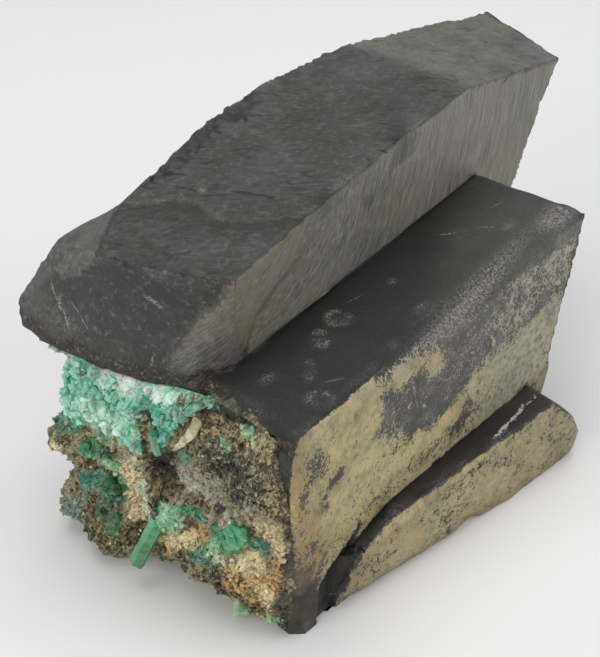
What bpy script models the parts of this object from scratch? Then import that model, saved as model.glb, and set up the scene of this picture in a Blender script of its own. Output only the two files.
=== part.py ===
"""Emerald crystal cluster: black shale with a crust of calcite, pyrite and emerald on its broken end.

Sizes are in millimetres, turned to metres when a mesh is made. X runs along the stone, with the
crust at the -X end. The coated side faces -Y, the stone rests on Z = 0.
"""

import math
import random

import bmesh
import bpy
import numpy as np
from mathutils import Euler, Matrix, Vector, noise

MM = 0.001
GAP = 0.3

# The stone

UNDERSIDE_OF_SLAB = 60.0
TOP_OF_MIDDLE = 63.4
SLAB_SIDE_Y = -3.5

MIDDLE_BLOCK = {
    "crust foot": (-81.2, -31.5, 0),
    "side foot": (-78.6, -34.4, 0),
    "crust edge, high": (-81.0, -30.6, 49),
    "side edge, high": (-79.6, -31.3, 57),
    "outer shoulder": (-77.6, -28, 61.5),
    "inner shoulder": (-75.2, -18, 62.6),
    "top beside the slab": (-73.5, -8, TOP_OF_MIDDLE),
    "side edge, top": (-76.5, -31.2, 62),
    "top far corner": (41.4, -38.1, 66.2),
    "top far end at the slab": (39.9, -3, 66.4),
    "side, far low": (24.4, -39.7, 18),
    "side, far foot": (18.2, -40.2, 0),
    "far foot, back": (8, 42, 0),
    "far top, back": (34, 46.5, 64),
    "crust foot, back": (-75.2, 37, 0),
    "crust top, back": (-75.2, 38, 62),
    "back corner foot": (-64, 45.5, 0),
    "back corner top": (-64, 46.5, 62),
}

UPPER_SLAB = {
    "near side corner": (-65.9, SLAB_SIDE_Y, 88.5),
    "front ridge, right": (-69.2, 1.2, 88),
    "front ridge, left": (-76.8, 30.3, 87.2),
    "near left shoulder": (-72.3, 47.6, 82),
    "left nose": (-82.6, 52.6, 67.5),
    "left nose, low": (-84.4, 51.6, UNDERSIDE_OF_SLAB + 1.5),
    "front foot, left": (-84.6, 45, UNDERSIDE_OF_SLAB),
    "front foot, middle": (-84.6, 24, UNDERSIDE_OF_SLAB),
    "front foot, right": (-80, 10.6, UNDERSIDE_OF_SLAB),
    "chamfer foot": (-77.2, 3.5, UNDERSIDE_OF_SLAB),
    "side foot": (-67, SLAB_SIDE_Y, UNDERSIDE_OF_SLAB),
    "side ridge": (-38.5, SLAB_SIDE_Y, 92.3),
    "side ridge, far": (-2.7, SLAB_SIDE_Y, 95.6),
    "far facet, right": (33.2, SLAB_SIDE_Y, 97),
    "far facet, left": (31.9, 38.5, 97),
    "left ridge, far": (-1.8, 43.5, 95),
    "left ridge": (-31, 44, 92),
    "left ridge, near": (-58.5, 39.3, 89),
    "tip, right": (83.2, SLAB_SIDE_Y, 85.7),
    "tip, left": (95.5, 29.5, 86),
    "tip, left low": (88, 36, 66),
    "end foot, right": (61, SLAB_SIDE_Y, 52.7),
    "end foot, left": (66, 41, 50),
    "back foot, near": (-60, 50.5, UNDERSIDE_OF_SLAB),
    "back foot, far": (20, 50.5, 58),
}

SLAB_ROOT = {
    "right, top": (61.2, SLAB_SIDE_Y, 53.5),
    "right, low": (50, SLAB_SIDE_Y, 36),
    "right, at the block": (22, SLAB_SIDE_Y, 33),
    "right, in the block": (0, SLAB_SIDE_Y, 58),
    "left, top": (66, 41, 52),
    "left, low": (52, 41, 37),
    "left, at the block": (18, 45, 33),
    "left, in the block": (0, 46, 58),
}

LEDGE = {
    "near point": (-73.5, -32.4, 0),
    "outer foot, near": (-62.4, -34.8, 0),
    "outer foot": (-45.7, -39.2, 0),
    "outer foot, middle": (-16, -45, 0),
    "outer foot, far": (-2.4, -48.7, 0),
    "far foot": (18.5, -51.4, 0),
    "near rise": (-67.5, -36.9, 6.5),
    "outer top, near": (-59, -38.6, 17.5),
    "outer top": (-50, -39.5, 21),
    "outer top, middle": (-29.5, -42, 21.5),
    "outer top, far": (4, -46, 22.5),
    "far shoulder": (13, -49, 23),
    "far end, high": (20, -52, 15.5),
    "far end, middle": (23.6, -53, 8),
    "far end, low": (23, -52, 1.5),
    "inner top, near": (-66, -32, 13.5),
    "inner top": (-40, -33, 20.2),
    "inner top, far": (17, -37, 21.5),
    "far end, inner": (23, -38, 12),
    "inner foot, far": (15, -34, 0),
    "inner foot, near": (-70, -30, 0),
}

BACK_LAYERS = {
    "low layer": [(-60, 38, 0), (-50, 48, 0), (-20, 51.5, 0), (0, 48.5, 0), (9, 38, 0),
                  (-61, 38, 16), (-49, 47, 18), (-22, 50.4, 23.5), (-2, 47.2, 26), (6, 38, 28)],
    "middle layer": [(-38, 38, 25), (-27, 47.6, 26), (4, 49.8, 28), (18, 46.6, 26), (27, 38, 26),
                     (-45, 38, 45), (-31, 49, 51), (6, 51, 53), (22, 48.4, 50), (33, 38, 51)],
    "far step": [(10, -26, 7), (22.6, -23, 9), (23, 8, 9), (10, 20, 6),
                 (14, -25, 37), (34.6, -21, 35), (33.8, 4, 36), (14, 16, 38)],
    "far step, low": [(6, 0, 0), (19.6, 4, 0), (17, 30, 0), (6, 34, 0),
                      (8, 2, 17), (25.6, 8, 18.5), (23, 27, 17), (8, 32, 18)],
}

STONE_BITES = {
    "worn edge of the middle block": [
        (-74, -31.2, 62.3), (37, -38.2, 66.6), (-20, -28.4, 64.6), (-20, -35, 57), (12, -30.2, 65.8),
        (12, -37.2, 60.5), (-50, -29.6, 63.6), (-50, -33.2, 59.5), (-20, -46, 70)],
    "hollow in the left flank": [
        (-72.5, 47.9, 82), (-58.2, 39.9, 88.8), (-32, 44.2, 92), (-56, 52.5, 66), (-56, 58, 90), (-45, 50, 97),
        (-66, 50, 92)],
    "tongue": [
        (-80, 32, 88.1), (-59, 39, 90.3), (-46, 24, 91.6), (-40, 6, 92.1), (-42, -6, 92.2), (-64, -6, 88.9),
        (-71, 1, 87.7), (-60, 40, 96), (-40, 20, 96), (-40, -6, 96), (-75, 20, 96)],
    "chip on the left ridge, near": [
        (-52, 46, 88.4), (-37, 48, 89), (-44, 39.5, 93), (-50, 46, 97), (-38, 46, 97)],
    "chip on the left ridge": [(-34, 47, 89.5), (-19, 48, 90.5), (-27, 40, 94), (-32, 47, 98), (-20, 47, 98)],
    "chip on the left ridge, far": [(-15, 48, 90.5), (-2, 48, 92), (-9, 40, 96.2), (-14, 48, 99), (-3, 48, 99)],
    "nick in the right edge": [(-13, -5, 92.6), (-3, -5, 93.4), (-8, 0.6, 96.2), (-12, -5, 99), (-4, -5, 99)],
    "nick in the right edge, near": [
        (-34, -5, 91), (-29, -5, 91.2), (-31.5, -2.2, 93.6), (-34, -5, 96), (-29, -5, 96)],
    "notch at the far corner": [
        (38, -40, 61), (44, -40, 59), (44, -35.5, 63), (39.8, -37, 62.8), (44, -41, 64)],
    "undercut of the ledge": [
        (-26, -43.6, -1), (-13, -50, -1), (-16, -43.8, -1), (-25, -44.5, 6), (-15, -49, 7)],
    "broken foot at the back": [
        (-78, 52, -1), (14, 58, -1), (-66, 43.5, -1), (-20, 48.5, -1), (4, 42, -1), (-70, 56, 9), (6, 56, 7),
        (-30, 56, 5)],
    "broken foot at the far end": [
        (30, -46, -1), (22, 45, -1), (14.6, -30, -1), (13.5, 6, -1), (7.5, 38, -1), (26, -36, 6), (27, 12, 7),
        (18, 44, 9)],
    "step in the slab's back": [
        (-16, 46.2, 75), (40, 46.6, 72), (66, 39.5, 76), (40, 60, 72), (-16, 60, 75), (-9, 43.4, 100),
        (38, 39.6, 100), (60, 60, 100), (-9, 60, 100)],
    "break in the slab's back": [
        (-58, 49.2, 62), (-30, 48.4, 66), (-36, 47.4, 74), (-54, 48.6, 70), (-58, 58, 60), (-28, 58, 64),
        (-34, 58, 76), (-56, 58, 72)],
    "break in the slab's end": [
        (66, 8, 56), (90, 10, 88), (84, 26, 66), (72, 24, 54), (100, 8, 70), (100, 28, 64), (90, 14, 50)],
    "split in the tip": [
        (70, 42, 60), (100, 42, 60), (100, 30, 60), (74, 31, 60), (78, 42, 72), (100, 42, 72), (100, 33.5, 72),
        (82, 34, 72)],
}

# The crust

CRUST_BACK_X = -71.0
CRUST_BACK_LEFT_Y = 40.0
CRUST_FACE_X = -84.0
CRUST_HEIGHT = 59.2
CRUST_SEAT_GAP = 0.4

CRUST_LEFT = [(0, 40.5), (4, 43), (10, 40), (18, 39.5), (24, 42), (28, 46.5), (32, 45), (35, 40.5), (45, 37),
              (52, 35.5), (56, 36), (59, 42)]
CRUST_RIGHT = [(0, -32.6), (30, -32), (46, -31.2), (53, -30), (59, -27)]
CRUST_TOP = [(-30, 55), (-25, 59.6), (-17, 61.4), (-8, 61.4), (-4.4, 60), (-3, CRUST_HEIGHT),
             (46, CRUST_HEIGHT)]
CRUST_FOOT = [(-33, 0.6), (-26, 2.8), (-19, 1.2), (-11, 4.6), (0, 5.6), (6, 5), (12, 3.4), (20, 2.4), (26, 0.8),
              (34, 1.8), (42, 3.6)]

CRUST_LOBES = {
    "shoulder below the slab": (24, 47, 15, 9, 2.0),
    "boss, low left": (27, 12, 13, 11, 7.0),
    "boss, left": (37, 27, 8, 6, 2.5),
    "calcite shelf": (-12, 17, 17, 9, 3.2),
    "root of the large prism": (3, 22, 8, 8, 2.0),
    "cavity": (3.5, 38, 4.5, 4.5, -5.0),
    "bowl": (-11, 42, 12, 10, -1.8),
    "slope up to the middle block": (-14, 62, 13, 13, -3.6),
    "dip, left middle": (15, 30, 7, 6, -1.8),
    "thin right edge": (-36, 30, 7, 40, -2.4),
}

CRUST_ROWS = 26
CRUST_COLUMNS = 34
CRUST_LUMPS = [(6.0, 1.6), (2.6, 0.7)]
RIM_ROLL = 2.2
RIM_SHARPNESS = 16

# Growths fused to the crust: how many, the places across (Y) and up (Z) that they fill, their reach

CRUST_GROWTHS = {
    "pyrite": (14, (12, 40), (3, 20), 1.5),
    "pyrite, left": (10, (24, 42), (20, 34), 1.4),
    "calcite": (16, (-28, 4), (6, 26), 2.2),
    "speckled rock": (12, (-26, -4), (34, 54), 1.7),
    "around the cavity": (8, (-2, 16), (28, 42), 1.7),
}

# The druse sits in a stepped pocket of the crust, as one mass of crystals grown together

DRUSE_OUTLINE = [(46, 62), (46, 45), (37, 36.5), (28, 38), (21, 40.5), (15, 35.5), (9, 38.5), (1, 44), (-3, 50),
                 (-8, 56), (-9, 62)]
DRUSE_CENTRE = Vector((20, 52))
DRUSE_RIGHT_Y = -10
DRUSE_FOOT_Z = 34
DRUSE_BACK_X = -81.6
DRUSE_FACE_X = -85.2
DRUSE_LOBES = {
    "left shoulder": (30, 46, 8, 7, 2.6),
    "middle": (16, 49, 9, 8, 2.2),
    "right arm": (2, 53, 7, 5, 0.6),
    "fold": (23, 52, 3, 8, -1.6),
}
DRUSE_LUMPS = [(4.0, 1.5)]
POCKET_DEPTH = 20
SMALL_BERYLS = 40
SMALL_BERYL_RADII = (1.0, 2.1)
SMALL_BERYL_PLACES = ((-4, 34), (41, 56.5))
SMALL_BERYL_TILT = 0.65

# Single crystals: root, tip, radius, number of sides, spin about the axis in degrees, colour

CRYSTALS = {
    "emerald_prism_large": ((-84.4, 4.8, 26.6), (-91.8, 10.4, 7.8), 2.3, 6, 12, (0.05, 0.42, 0.22)),
    "emerald_prism_upper": ((-84.2, 6.6, 38.8), (-86.6, 5.6, 48.2), 1.25, 6, 0, (0.12, 0.50, 0.35)),
    "emerald_block": ((-83.2, -18.4, 28.5), (-87.8, -20.4, 30.7), 3.7, 6, 20, (0.06, 0.38, 0.24)),
    "emerald_sliver": ((-82.0, -24.4, 24.6), (-85.2, -27.4, 30.8), 1.5, 6, 40, (0.03, 0.22, 0.18)),
    "emerald_left_high": ((-83.2, 33.8, 27.6), (-88.2, 32.4, 31.4), 1.9, 6, 8, (0.09, 0.40, 0.26)),
    "emerald_left_middle": ((-84.6, 35.6, 17.6), (-89.4, 33.2, 21.4), 2.6, 6, 25, (0.05, 0.26, 0.17)),
    "emerald_left_low": ((-85.0, 26.4, 19.2), (-90.6, 25.0, 23.8), 2.2, 6, 14, (0.06, 0.28, 0.15)),
    "emerald_left_foot": ((-87.2, 20.6, 12.4), (-92.6, 18.8, 15.4), 1.7, 6, 33, (0.08, 0.30, 0.16)),
    "emerald_foot_near": ((-82.8, -17.6, 6.4), (-86.4, -20.0, 3.6), 2.5, 6, 18, (0.22, 0.52, 0.30)),
    "emerald_foot_far": ((-82.6, -26.8, 7.6), (-85.0, -28.6, 4.6), 1.6, 6, 5, (0.22, 0.48, 0.28)),
    "calcite_blade": ((-81.6, 3.0, 44.2), (-85.2, -7.6, 54.6), 1.6, 4, 45, (0.72, 0.66, 0.50)),
}
BLADE_STRETCH = (0.6, 1.5, 1)
SEATED_IN_DRUSE = ("emerald_prism_upper", "calcite_blade")


def make_collection(name):
    """A new collection under the scene's own."""
    collection = bpy.data.collections.new(name)
    bpy.context.scene.collection.children.link(collection)
    return collection


def make_material(name, colour, roughness, metallic=0.0):
    """A Principled BSDF with one colour."""
    material = bpy.data.materials.new(name)
    material.use_nodes = True
    shader = material.node_tree.nodes["Principled BSDF"]
    shader.inputs["Base Color"].default_value = (*colour, 1)
    shader.inputs["Roughness"].default_value = roughness
    shader.inputs["Metallic"].default_value = metallic
    return material


def make_object(name, shape, collection, material=None):
    """An object in metres from a bmesh in millimetres."""
    bmesh.ops.scale(shape, vec=(MM, MM, MM), verts=shape.verts)
    bmesh.ops.recalc_face_normals(shape, faces=shape.faces)
    mesh = bpy.data.meshes.new(name)
    shape.to_mesh(mesh)
    shape.free()
    thing = bpy.data.objects.new(name, mesh)
    collection.objects.link(thing)
    if material:
        mesh.materials.append(material)
    return thing


def hull(corners):
    """The convex solid that just holds a set of corners, as a block broken along flat planes."""
    shape = bmesh.new()
    verts = [shape.verts.new(corner) for corner in corners]
    result = bmesh.ops.convex_hull(shape, input=verts)
    loose = {item for item in result["geom_interior"] + result["geom_unused"]
             if isinstance(item, bmesh.types.BMVert)}
    bmesh.ops.delete(shape, geom=list(loose), context="VERTS")
    return shape


def combine(name, base, others, operation):
    """The base joined with, or cut by, the others: an exact Boolean, kept as a plain mesh."""
    group = bpy.data.collections.new(f"{name} {operation.lower()}")
    for other in others:
        group.objects.link(other)
    modifier = base.modifiers.new(name, "BOOLEAN")
    modifier.operation = operation
    modifier.operand_type = "COLLECTION"
    modifier.collection = group
    modifier.solver = "EXACT"
    bpy.context.view_layer.update()
    evaluated = base.evaluated_get(bpy.context.evaluated_depsgraph_get())
    mesh = bpy.data.meshes.new_from_object(evaluated)
    base.modifiers.clear()
    base.data = mesh
    for other in others:
        bpy.data.objects.remove(other)
    bpy.data.collections.remove(group)
    return base


def drop_crumbs(thing):
    """Keep the largest body of a mesh, without the loose crumbs that a cut leaves."""
    shape = bmesh.new()
    shape.from_mesh(thing.data)
    bodies, unseen = [], set(shape.verts)
    while unseen:
        body, edge_of_body = set(), [unseen.pop()]
        while edge_of_body:
            vert = edge_of_body.pop()
            body.add(vert)
            near = {edge.other_vert(vert) for edge in vert.link_edges} & unseen
            unseen -= near
            edge_of_body.extend(near)
        bodies.append(body)
    largest = max(bodies, key=len)
    bmesh.ops.delete(shape, geom=[vert for vert in shape.verts if vert not in largest], context="VERTS")
    shape.to_mesh(thing.data)
    shape.free()
    return thing


def profile(points, value):
    """A value read along a list of (place, value) points."""
    places, values = zip(*points)
    return float(np.interp(value, places, values))


def lobes_at(lobes, y, z):
    """The height (mm) that a set of round lobes and hollows adds at a place on the face."""
    height = 0.0
    for centre_y, centre_z, spread_y, spread_z, rise in lobes.values():
        distance = ((y - centre_y) / spread_y) ** 2 + ((z - centre_z) / spread_z) ** 2
        height += rise * math.exp(-distance)
    return height


def lumps_at(lumps, y, z):
    """The height (mm) of irregular lumps, given as pairs of width and height."""
    return sum(noise.noise(Vector((y, z, width)) / width) * height for width, height in lumps)


def crust_face(y, z):
    """The crust's rough face, without the crystals fused to it."""
    return CRUST_FACE_X - lobes_at(CRUST_LOBES, y, z) - lumps_at(CRUST_LUMPS, y, z)


def make_crust_base():
    """A grid across the broken end, bent to the crust's outline and face, and closed by a flat back."""
    shape = bmesh.new()
    bmesh.ops.create_grid(shape, x_segments=CRUST_COLUMNS, y_segments=CRUST_ROWS, size=0.5)
    for vert in shape.verts:
        across, up = vert.co.x + 0.5, vert.co.y + 0.5
        level = up * CRUST_HEIGHT
        right, left = profile(CRUST_RIGHT, level), profile(CRUST_LEFT, level)
        y = right + across * (left - right)
        foot = profile(CRUST_FOOT, y)
        z = foot + up * (profile(CRUST_TOP, y) - foot)
        rim = min(across, 1 - across, up)
        vert.co = (crust_face(y, z) + RIM_ROLL * math.exp(-rim * RIM_SHARPNESS), y, z)
    back = bmesh.ops.extrude_face_region(shape, geom=shape.faces[:])
    for item in back["geom"]:
        if isinstance(item, bmesh.types.BMVert):
            item.co = (CRUST_BACK_X, min(item.co.y, CRUST_BACK_LEFT_Y), item.co.z)
    bmesh.ops.dissolve_limit(shape, angle_limit=math.radians(0.5), verts=shape.verts, edges=shape.edges)
    bmesh.ops.triangulate(shape, faces=shape.faces)
    return shape


def angular_grain(rng, reach, corner_count=11):
    """A broken grain: the hull of a few points on an uneven ball."""
    corners = []
    for _ in range(corner_count):
        way = Vector((rng.gauss(0, 1), rng.gauss(0, 1), rng.gauss(0, 1))).normalized()
        corners.append(way * reach * rng.uniform(0.75, 1.1))
    return hull(corners)


def cube(reach):
    """A pyrite cube whose corners stand a little past its reach."""
    shape = bmesh.new()
    bmesh.ops.create_cube(shape, size=reach * 1.5)
    return shape


def prism(radius, length, sides):
    """A straight crystal prism, centred, along Z."""
    shape = bmesh.new()
    bmesh.ops.create_cone(shape, cap_ends=True, segments=sides, radius1=radius, radius2=radius, depth=length)
    return shape


def turn_and_place(shape, place, angles):
    """Turn a shape about its centre, and put it at a place."""
    bmesh.ops.rotate(shape, cent=(0, 0, 0), matrix=Euler(angles).to_matrix(), verts=shape.verts)
    bmesh.ops.translate(shape, vec=place, verts=shape.verts)
    return shape


def crust_growths(collection):
    """The lumps and pyrite cubes fused to the crust, each half sunk in its face and clear of the ground."""
    rng = random.Random(7)
    growths = []
    for name, (count, y_range, z_range, size) in CRUST_GROWTHS.items():
        for index in range(count):
            y, z = rng.uniform(*y_range), rng.uniform(*z_range)
            reach = size * rng.uniform(0.7, 1.25)
            angles = [rng.uniform(0, math.pi) for _ in range(3)]
            is_cube = name.startswith("pyrite") and index % 2
            shape = cube(reach) if is_cube else angular_grain(rng, reach)
            place = (crust_face(y, z), y, max(z, reach * 1.3))
            growths.append(make_object(f"{name} {index}", turn_and_place(shape, place, angles), collection))
    return growths


def make_druse_pocket(name, grow, collection):
    """The druse's outline carried straight out from its seat, grown by a clearance for the cutter."""
    shape = bmesh.new()
    ring = []
    for y, z in DRUSE_OUTLINE:
        away = (Vector((y, z)) - DRUSE_CENTRE).normalized() * grow
        ring.append(shape.verts.new((DRUSE_BACK_X + grow, y + away.x, z + away.y)))
    face = shape.faces.new(ring)
    top = bmesh.ops.extrude_face_region(shape, geom=[face])
    bmesh.ops.translate(shape, vec=(-POCKET_DEPTH, 0, 0),
                        verts=[item for item in top["geom"] if isinstance(item, bmesh.types.BMVert)])
    return make_object(name, shape, collection)


def druse_face(y, z):
    """The druse's lumpy face."""
    return DRUSE_FACE_X - lobes_at(DRUSE_LOBES, y, z) - lumps_at(DRUSE_LUMPS, y, z)


def make_druse_base():
    """A grid over the druse's pocket, bent to its face, rolled back at the left and closed by a flat back."""
    shape = bmesh.new()
    bmesh.ops.create_grid(shape, x_segments=24, y_segments=12, size=0.5)
    for vert in shape.verts:
        across, up = vert.co.x + 0.5, vert.co.y + 0.5
        z = DRUSE_FOOT_Z + up * (CRUST_HEIGHT - DRUSE_FOOT_Z)
        y = DRUSE_RIGHT_Y + across * (profile(CRUST_LEFT, z) - DRUSE_RIGHT_Y)
        vert.co = (druse_face(y, z) + RIM_ROLL * math.exp((across - 1) * RIM_SHARPNESS), y, z)
    body = bmesh.ops.extrude_face_region(shape, geom=shape.faces[:])
    for item in body["geom"]:
        if isinstance(item, bmesh.types.BMVert):
            item.co.x = DRUSE_BACK_X
    return shape


def small_beryls(collection):
    """Stubby prisms that lean out of the druse's face."""
    rng = random.Random(21)
    crystals = []
    for index in range(SMALL_BERYLS):
        y, z = (rng.uniform(*span) for span in SMALL_BERYL_PLACES)
        radius = rng.uniform(*SMALL_BERYL_RADII)
        lean = [rng.uniform(-SMALL_BERYL_TILT, SMALL_BERYL_TILT) for _ in range(3)]
        angles = (lean[0], math.pi / 2 + lean[1], lean[2])
        place = (druse_face(y, z) + radius * 0.6, y, z)
        crystal = turn_and_place(prism(radius, radius * 3, 6), place, angles)
        crystals.append(make_object(f"small beryl {index}", crystal, collection))
    return crystals


def make_druse(collection, material):
    """A lumpy mass with small prisms fused to it, trimmed to its pocket and cut for the crystals beside it."""
    druse = make_object("emerald_druse", make_druse_base(), collection, material)
    druse = combine("fuse beryl", druse, small_beryls(collection), "UNION")
    outline = make_druse_pocket("druse outline", 0, collection)
    druse = combine("trim to the pocket", druse, [outline], "INTERSECT")
    sockets = [place_crystal(name, GAP, collection) for name in SEATED_IN_DRUSE]
    return drop_crumbs(combine("sockets in the druse", druse, sockets, "DIFFERENCE"))


def place_crystal(name, grow, collection):
    """A prism from its root to its tip, both ends and sides grown by a clearance where it is a cutter."""
    root, tip, radius, sides, spin, colour = CRYSTALS[name]
    root, tip = Vector(root), Vector(tip)
    axis = tip - root
    shape = prism(radius + grow * 1.2, axis.length + 2 * grow, sides)
    turn = Euler((0, 0, math.radians(spin))).to_matrix()
    bmesh.ops.rotate(shape, cent=(0, 0, 0), matrix=turn, verts=shape.verts)
    if name == "calcite_blade":
        bmesh.ops.scale(shape, vec=BLADE_STRETCH, verts=shape.verts)
    if grow:
        thing = make_object(f"socket of {name}", shape, collection)
    else:
        roughness = 0.5 if name == "calcite_blade" else 0.2
        thing = make_object(name, shape, collection, make_material(name, colour, roughness))
    thing.rotation_mode = "QUATERNION"
    thing.rotation_quaternion = axis.to_track_quat("Z", "Y")
    thing.location = (root + tip) / 2 * MM
    return thing


def make_stone(collection, material):
    """The shale: broken blocks and layers joined in one stone, less its chips and worn edges."""
    stone = make_object("black_shale", hull(MIDDLE_BLOCK.values()), collection, material)
    joined = {"upper slab": UPPER_SLAB.values(), "slab root": SLAB_ROOT.values(), "ledge": LEDGE.values(),
              **BACK_LAYERS}
    blocks = [make_object(name, hull(corners), collection) for name, corners in joined.items()]
    stone = combine("one stone", stone, blocks, "UNION")
    bites = [make_object(name, hull(corners), collection) for name, corners in STONE_BITES.items()]
    return combine("chips", stone, bites, "DIFFERENCE")


def make_crust(collection, material):
    """The crust with its fused growths, cut for the druse and for each crystal seated in it."""
    crust = make_object("mineral_crust", make_crust_base(), collection, material)
    crust = combine("fuse growths", crust, crust_growths(collection), "UNION")
    broken_end = make_object("broken end", hull(MIDDLE_BLOCK.values()), collection)
    broken_end.data.transform(Matrix.Translation((-CRUST_SEAT_GAP * MM, 0, 0)))
    sockets = [broken_end, make_druse_pocket("druse socket", GAP, collection)]
    sockets += [place_crystal(name, GAP, collection) for name in CRYSTALS]
    return drop_crumbs(combine("sockets", crust, sockets, "DIFFERENCE"))


def centre_on_origin(parts, stand):
    """Move the stand that holds every part, so that the bottom centre of their box is the origin."""
    bpy.context.view_layer.update()
    corners = np.array([part.matrix_world @ vert.co for part in parts for vert in part.data.vertices])
    low, high = corners.min(axis=0), corners.max(axis=0)
    stand.location = (-(low[0] + high[0]) / 2, -(low[1] + high[1]) / 2, -low[2])


def main():
    for thing in list(bpy.data.objects):
        bpy.data.objects.remove(thing)

    specimen = make_collection("emerald crystal cluster")
    shale = make_material("black shale", (0.045, 0.045, 0.047), 0.62)
    calcite = make_material("calcite and pyrite crust", (0.36, 0.31, 0.20), 0.7)
    beryl = make_material("turquoise-green beryl", (0.14, 0.50, 0.38), 0.4)

    parts = [make_stone(specimen, shale), make_crust(specimen, calcite), make_druse(specimen, beryl)]
    parts += [place_crystal(name, 0, specimen) for name in CRYSTALS]

    stand = bpy.data.objects.new("stand", None)
    specimen.objects.link(stand)
    for part in parts:
        part.parent = stand
    centre_on_origin(parts, stand)


main()
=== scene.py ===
import math
from itertools import product

import bmesh
import bpy
import numpy as np
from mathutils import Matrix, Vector


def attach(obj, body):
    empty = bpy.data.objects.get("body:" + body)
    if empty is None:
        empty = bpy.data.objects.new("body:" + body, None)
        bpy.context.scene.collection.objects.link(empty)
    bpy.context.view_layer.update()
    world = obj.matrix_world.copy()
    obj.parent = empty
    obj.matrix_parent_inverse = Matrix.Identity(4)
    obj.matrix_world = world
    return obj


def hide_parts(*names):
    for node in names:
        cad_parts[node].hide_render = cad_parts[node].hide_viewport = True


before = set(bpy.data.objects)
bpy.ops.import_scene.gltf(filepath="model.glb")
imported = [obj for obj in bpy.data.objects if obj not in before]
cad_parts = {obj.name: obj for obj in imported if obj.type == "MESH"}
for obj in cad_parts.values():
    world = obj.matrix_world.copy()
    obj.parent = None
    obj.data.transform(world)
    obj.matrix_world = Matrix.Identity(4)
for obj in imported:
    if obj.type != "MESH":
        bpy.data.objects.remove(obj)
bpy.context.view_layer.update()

# Camera and studio
# The specimen stands on a plain pale table under a large soft light above it, with a weaker one at its
# coated side and one at its crust. The camera looks down on the crust's end from about 43 cm.

MM = 0.001
LOOK_AT = Vector((-26.28, 8.7, 45)) * MM
AZIMUTH, ELEVATION = math.radians(-52), math.radians(37)
DISTANCE = 432 * MM
SENSOR = 36
FOCAL_PIXELS, TALL_PIXELS = 1600, 657


def colour(code):
    """An sRGB hex code as a linear colour: each part up to 0.04045 is divided by 12.92, and each above it
    is ((part + 0.055) / 1.055) to the power of 2.4."""
    parts = [int(code[index:index + 2], 16) / 255 for index in (1, 3, 5)]
    return (*(part / 12.92 if part <= 0.04045 else ((part + 0.055) / 1.055) ** 2.4 for part in parts), 1)


def add(material, kind, inputs=None, out=None, stops=(), **settings):
    """Adds a node with its settings, its ramp's stops and its inputs, which are values, hex codes or
    sockets to link. Gives the output that is named, or else the first."""
    made = material.node_tree.nodes.new(f"ShaderNode{kind}")
    for name, value in settings.items():
        setattr(made, name, value)
    for index, (place, code) in enumerate(stops):
        element = made.color_ramp.elements[index] if index < 2 else made.color_ramp.elements.new(place)
        element.position, element.color = place, colour(code)
    for name, value in (inputs or {}).items():
        socket = made.inputs[name] if isinstance(name, int) else next(
            item for item in made.inputs if item.enabled and item.name == name)
        if isinstance(value, bpy.types.NodeSocket):
            material.node_tree.links.new(value, socket)
        else:
            socket.default_value = colour(value) if isinstance(value, str) else value
    return next((item for item in made.outputs if item.enabled and out in (None, item.name)), None)


def new_material(name):
    """An empty node material."""
    material = bpy.data.materials.new(name)
    material.use_nodes = True
    material.node_tree.nodes.clear()
    return material


def put_mesh(name, verts, faces, material, smooth=True):
    """Puts places in millimetres and a list of faces into a mesh object at the origin."""
    mesh = bpy.data.meshes.new(name)
    mesh.from_pydata((np.asarray(verts) * MM).tolist(), [], faces)
    mesh.polygons.foreach_set("use_smooth", [smooth] * len(mesh.polygons))
    mesh.materials.append(material)
    thing = bpy.data.objects.new(name, mesh)
    bpy.context.scene.collection.objects.link(thing)
    return thing


lens = bpy.data.cameras.new("camera")
lens.sensor_width = SENSOR
lens.lens = FOCAL_PIXELS * SENSOR / TALL_PIXELS
camera = bpy.data.objects.new("camera", lens)
bpy.context.scene.collection.objects.link(camera)
bpy.context.scene.camera = camera
back = Vector((math.sin(AZIMUTH) * math.cos(ELEVATION), -math.cos(AZIMUTH) * math.cos(ELEVATION),
               math.sin(ELEVATION)))
camera.location = LOOK_AT + back * DISTANCE
camera.rotation_euler = back.to_track_quat("Z", "Y").to_euler()

# Matt laminate: near white and dull, so the stone's shadow stays soft on it

table = new_material("matt white laminate")
laminate = add(table, "BsdfPrincipled", {"Base Color": "#eeeeee", "Roughness": 0.75})
add(table, "OutputMaterial", {"Surface": laminate})
TABLE_REACH, TABLE_TOP = 2000, -0.05
table_corners = [(right * TABLE_REACH, away * TABLE_REACH, TABLE_TOP)
                 for right, away in ((-1, -1), (1, -1), (1, 1), (-1, 1))]
floor = put_mesh("floor", table_corners, [(0, 1, 2, 3)], table)

# Each light: its place and its width in metres, and its power in watts

LIGHTS = {
    "soft light above": ((0.10, 0.15, 0.95), 0.8, 4.9),
    "soft light at the coated side": ((0.55, -0.75, 0.55), 0.7, 2.9),
    "soft light at the crust": ((-0.75, 0.05, 0.42), 0.6, 2.6),
}
for name, (place, size, power) in LIGHTS.items():
    light = bpy.data.lights.new(name, "AREA")
    light.size, light.energy = size, power
    lamp = bpy.data.objects.new(name, light)
    lamp.location = place
    lamp.rotation_euler = (Vector(place) - LOOK_AT).to_track_quat("Z", "Y").to_euler()
    bpy.context.scene.collection.objects.link(lamp)

world = bpy.data.worlds.new("pale studio")
bpy.context.scene.world = world
world.use_nodes = True
sky = world.node_tree.nodes["Background"]
sky.inputs["Color"].default_value = colour("#f1f2f4")
sky.inputs["Strength"].default_value = 0.39
bpy.context.scene.view_settings.view_transform = "Standard"

# Black shale
# The matrix is carbonaceous shale, broken by hand along its joints: a middle block, an upper slab
# that overhangs it and a low ledge. Broken faces keep fine hackle ridges, and old joint faces keep a
# film of yellow iron clay.

# The remesh's depth and scale, which give facets of just under a millimetre, how far in millimetres a
# sharp crest stands out from the places round it, and the angle above which an edge is drawn sharp

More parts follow.
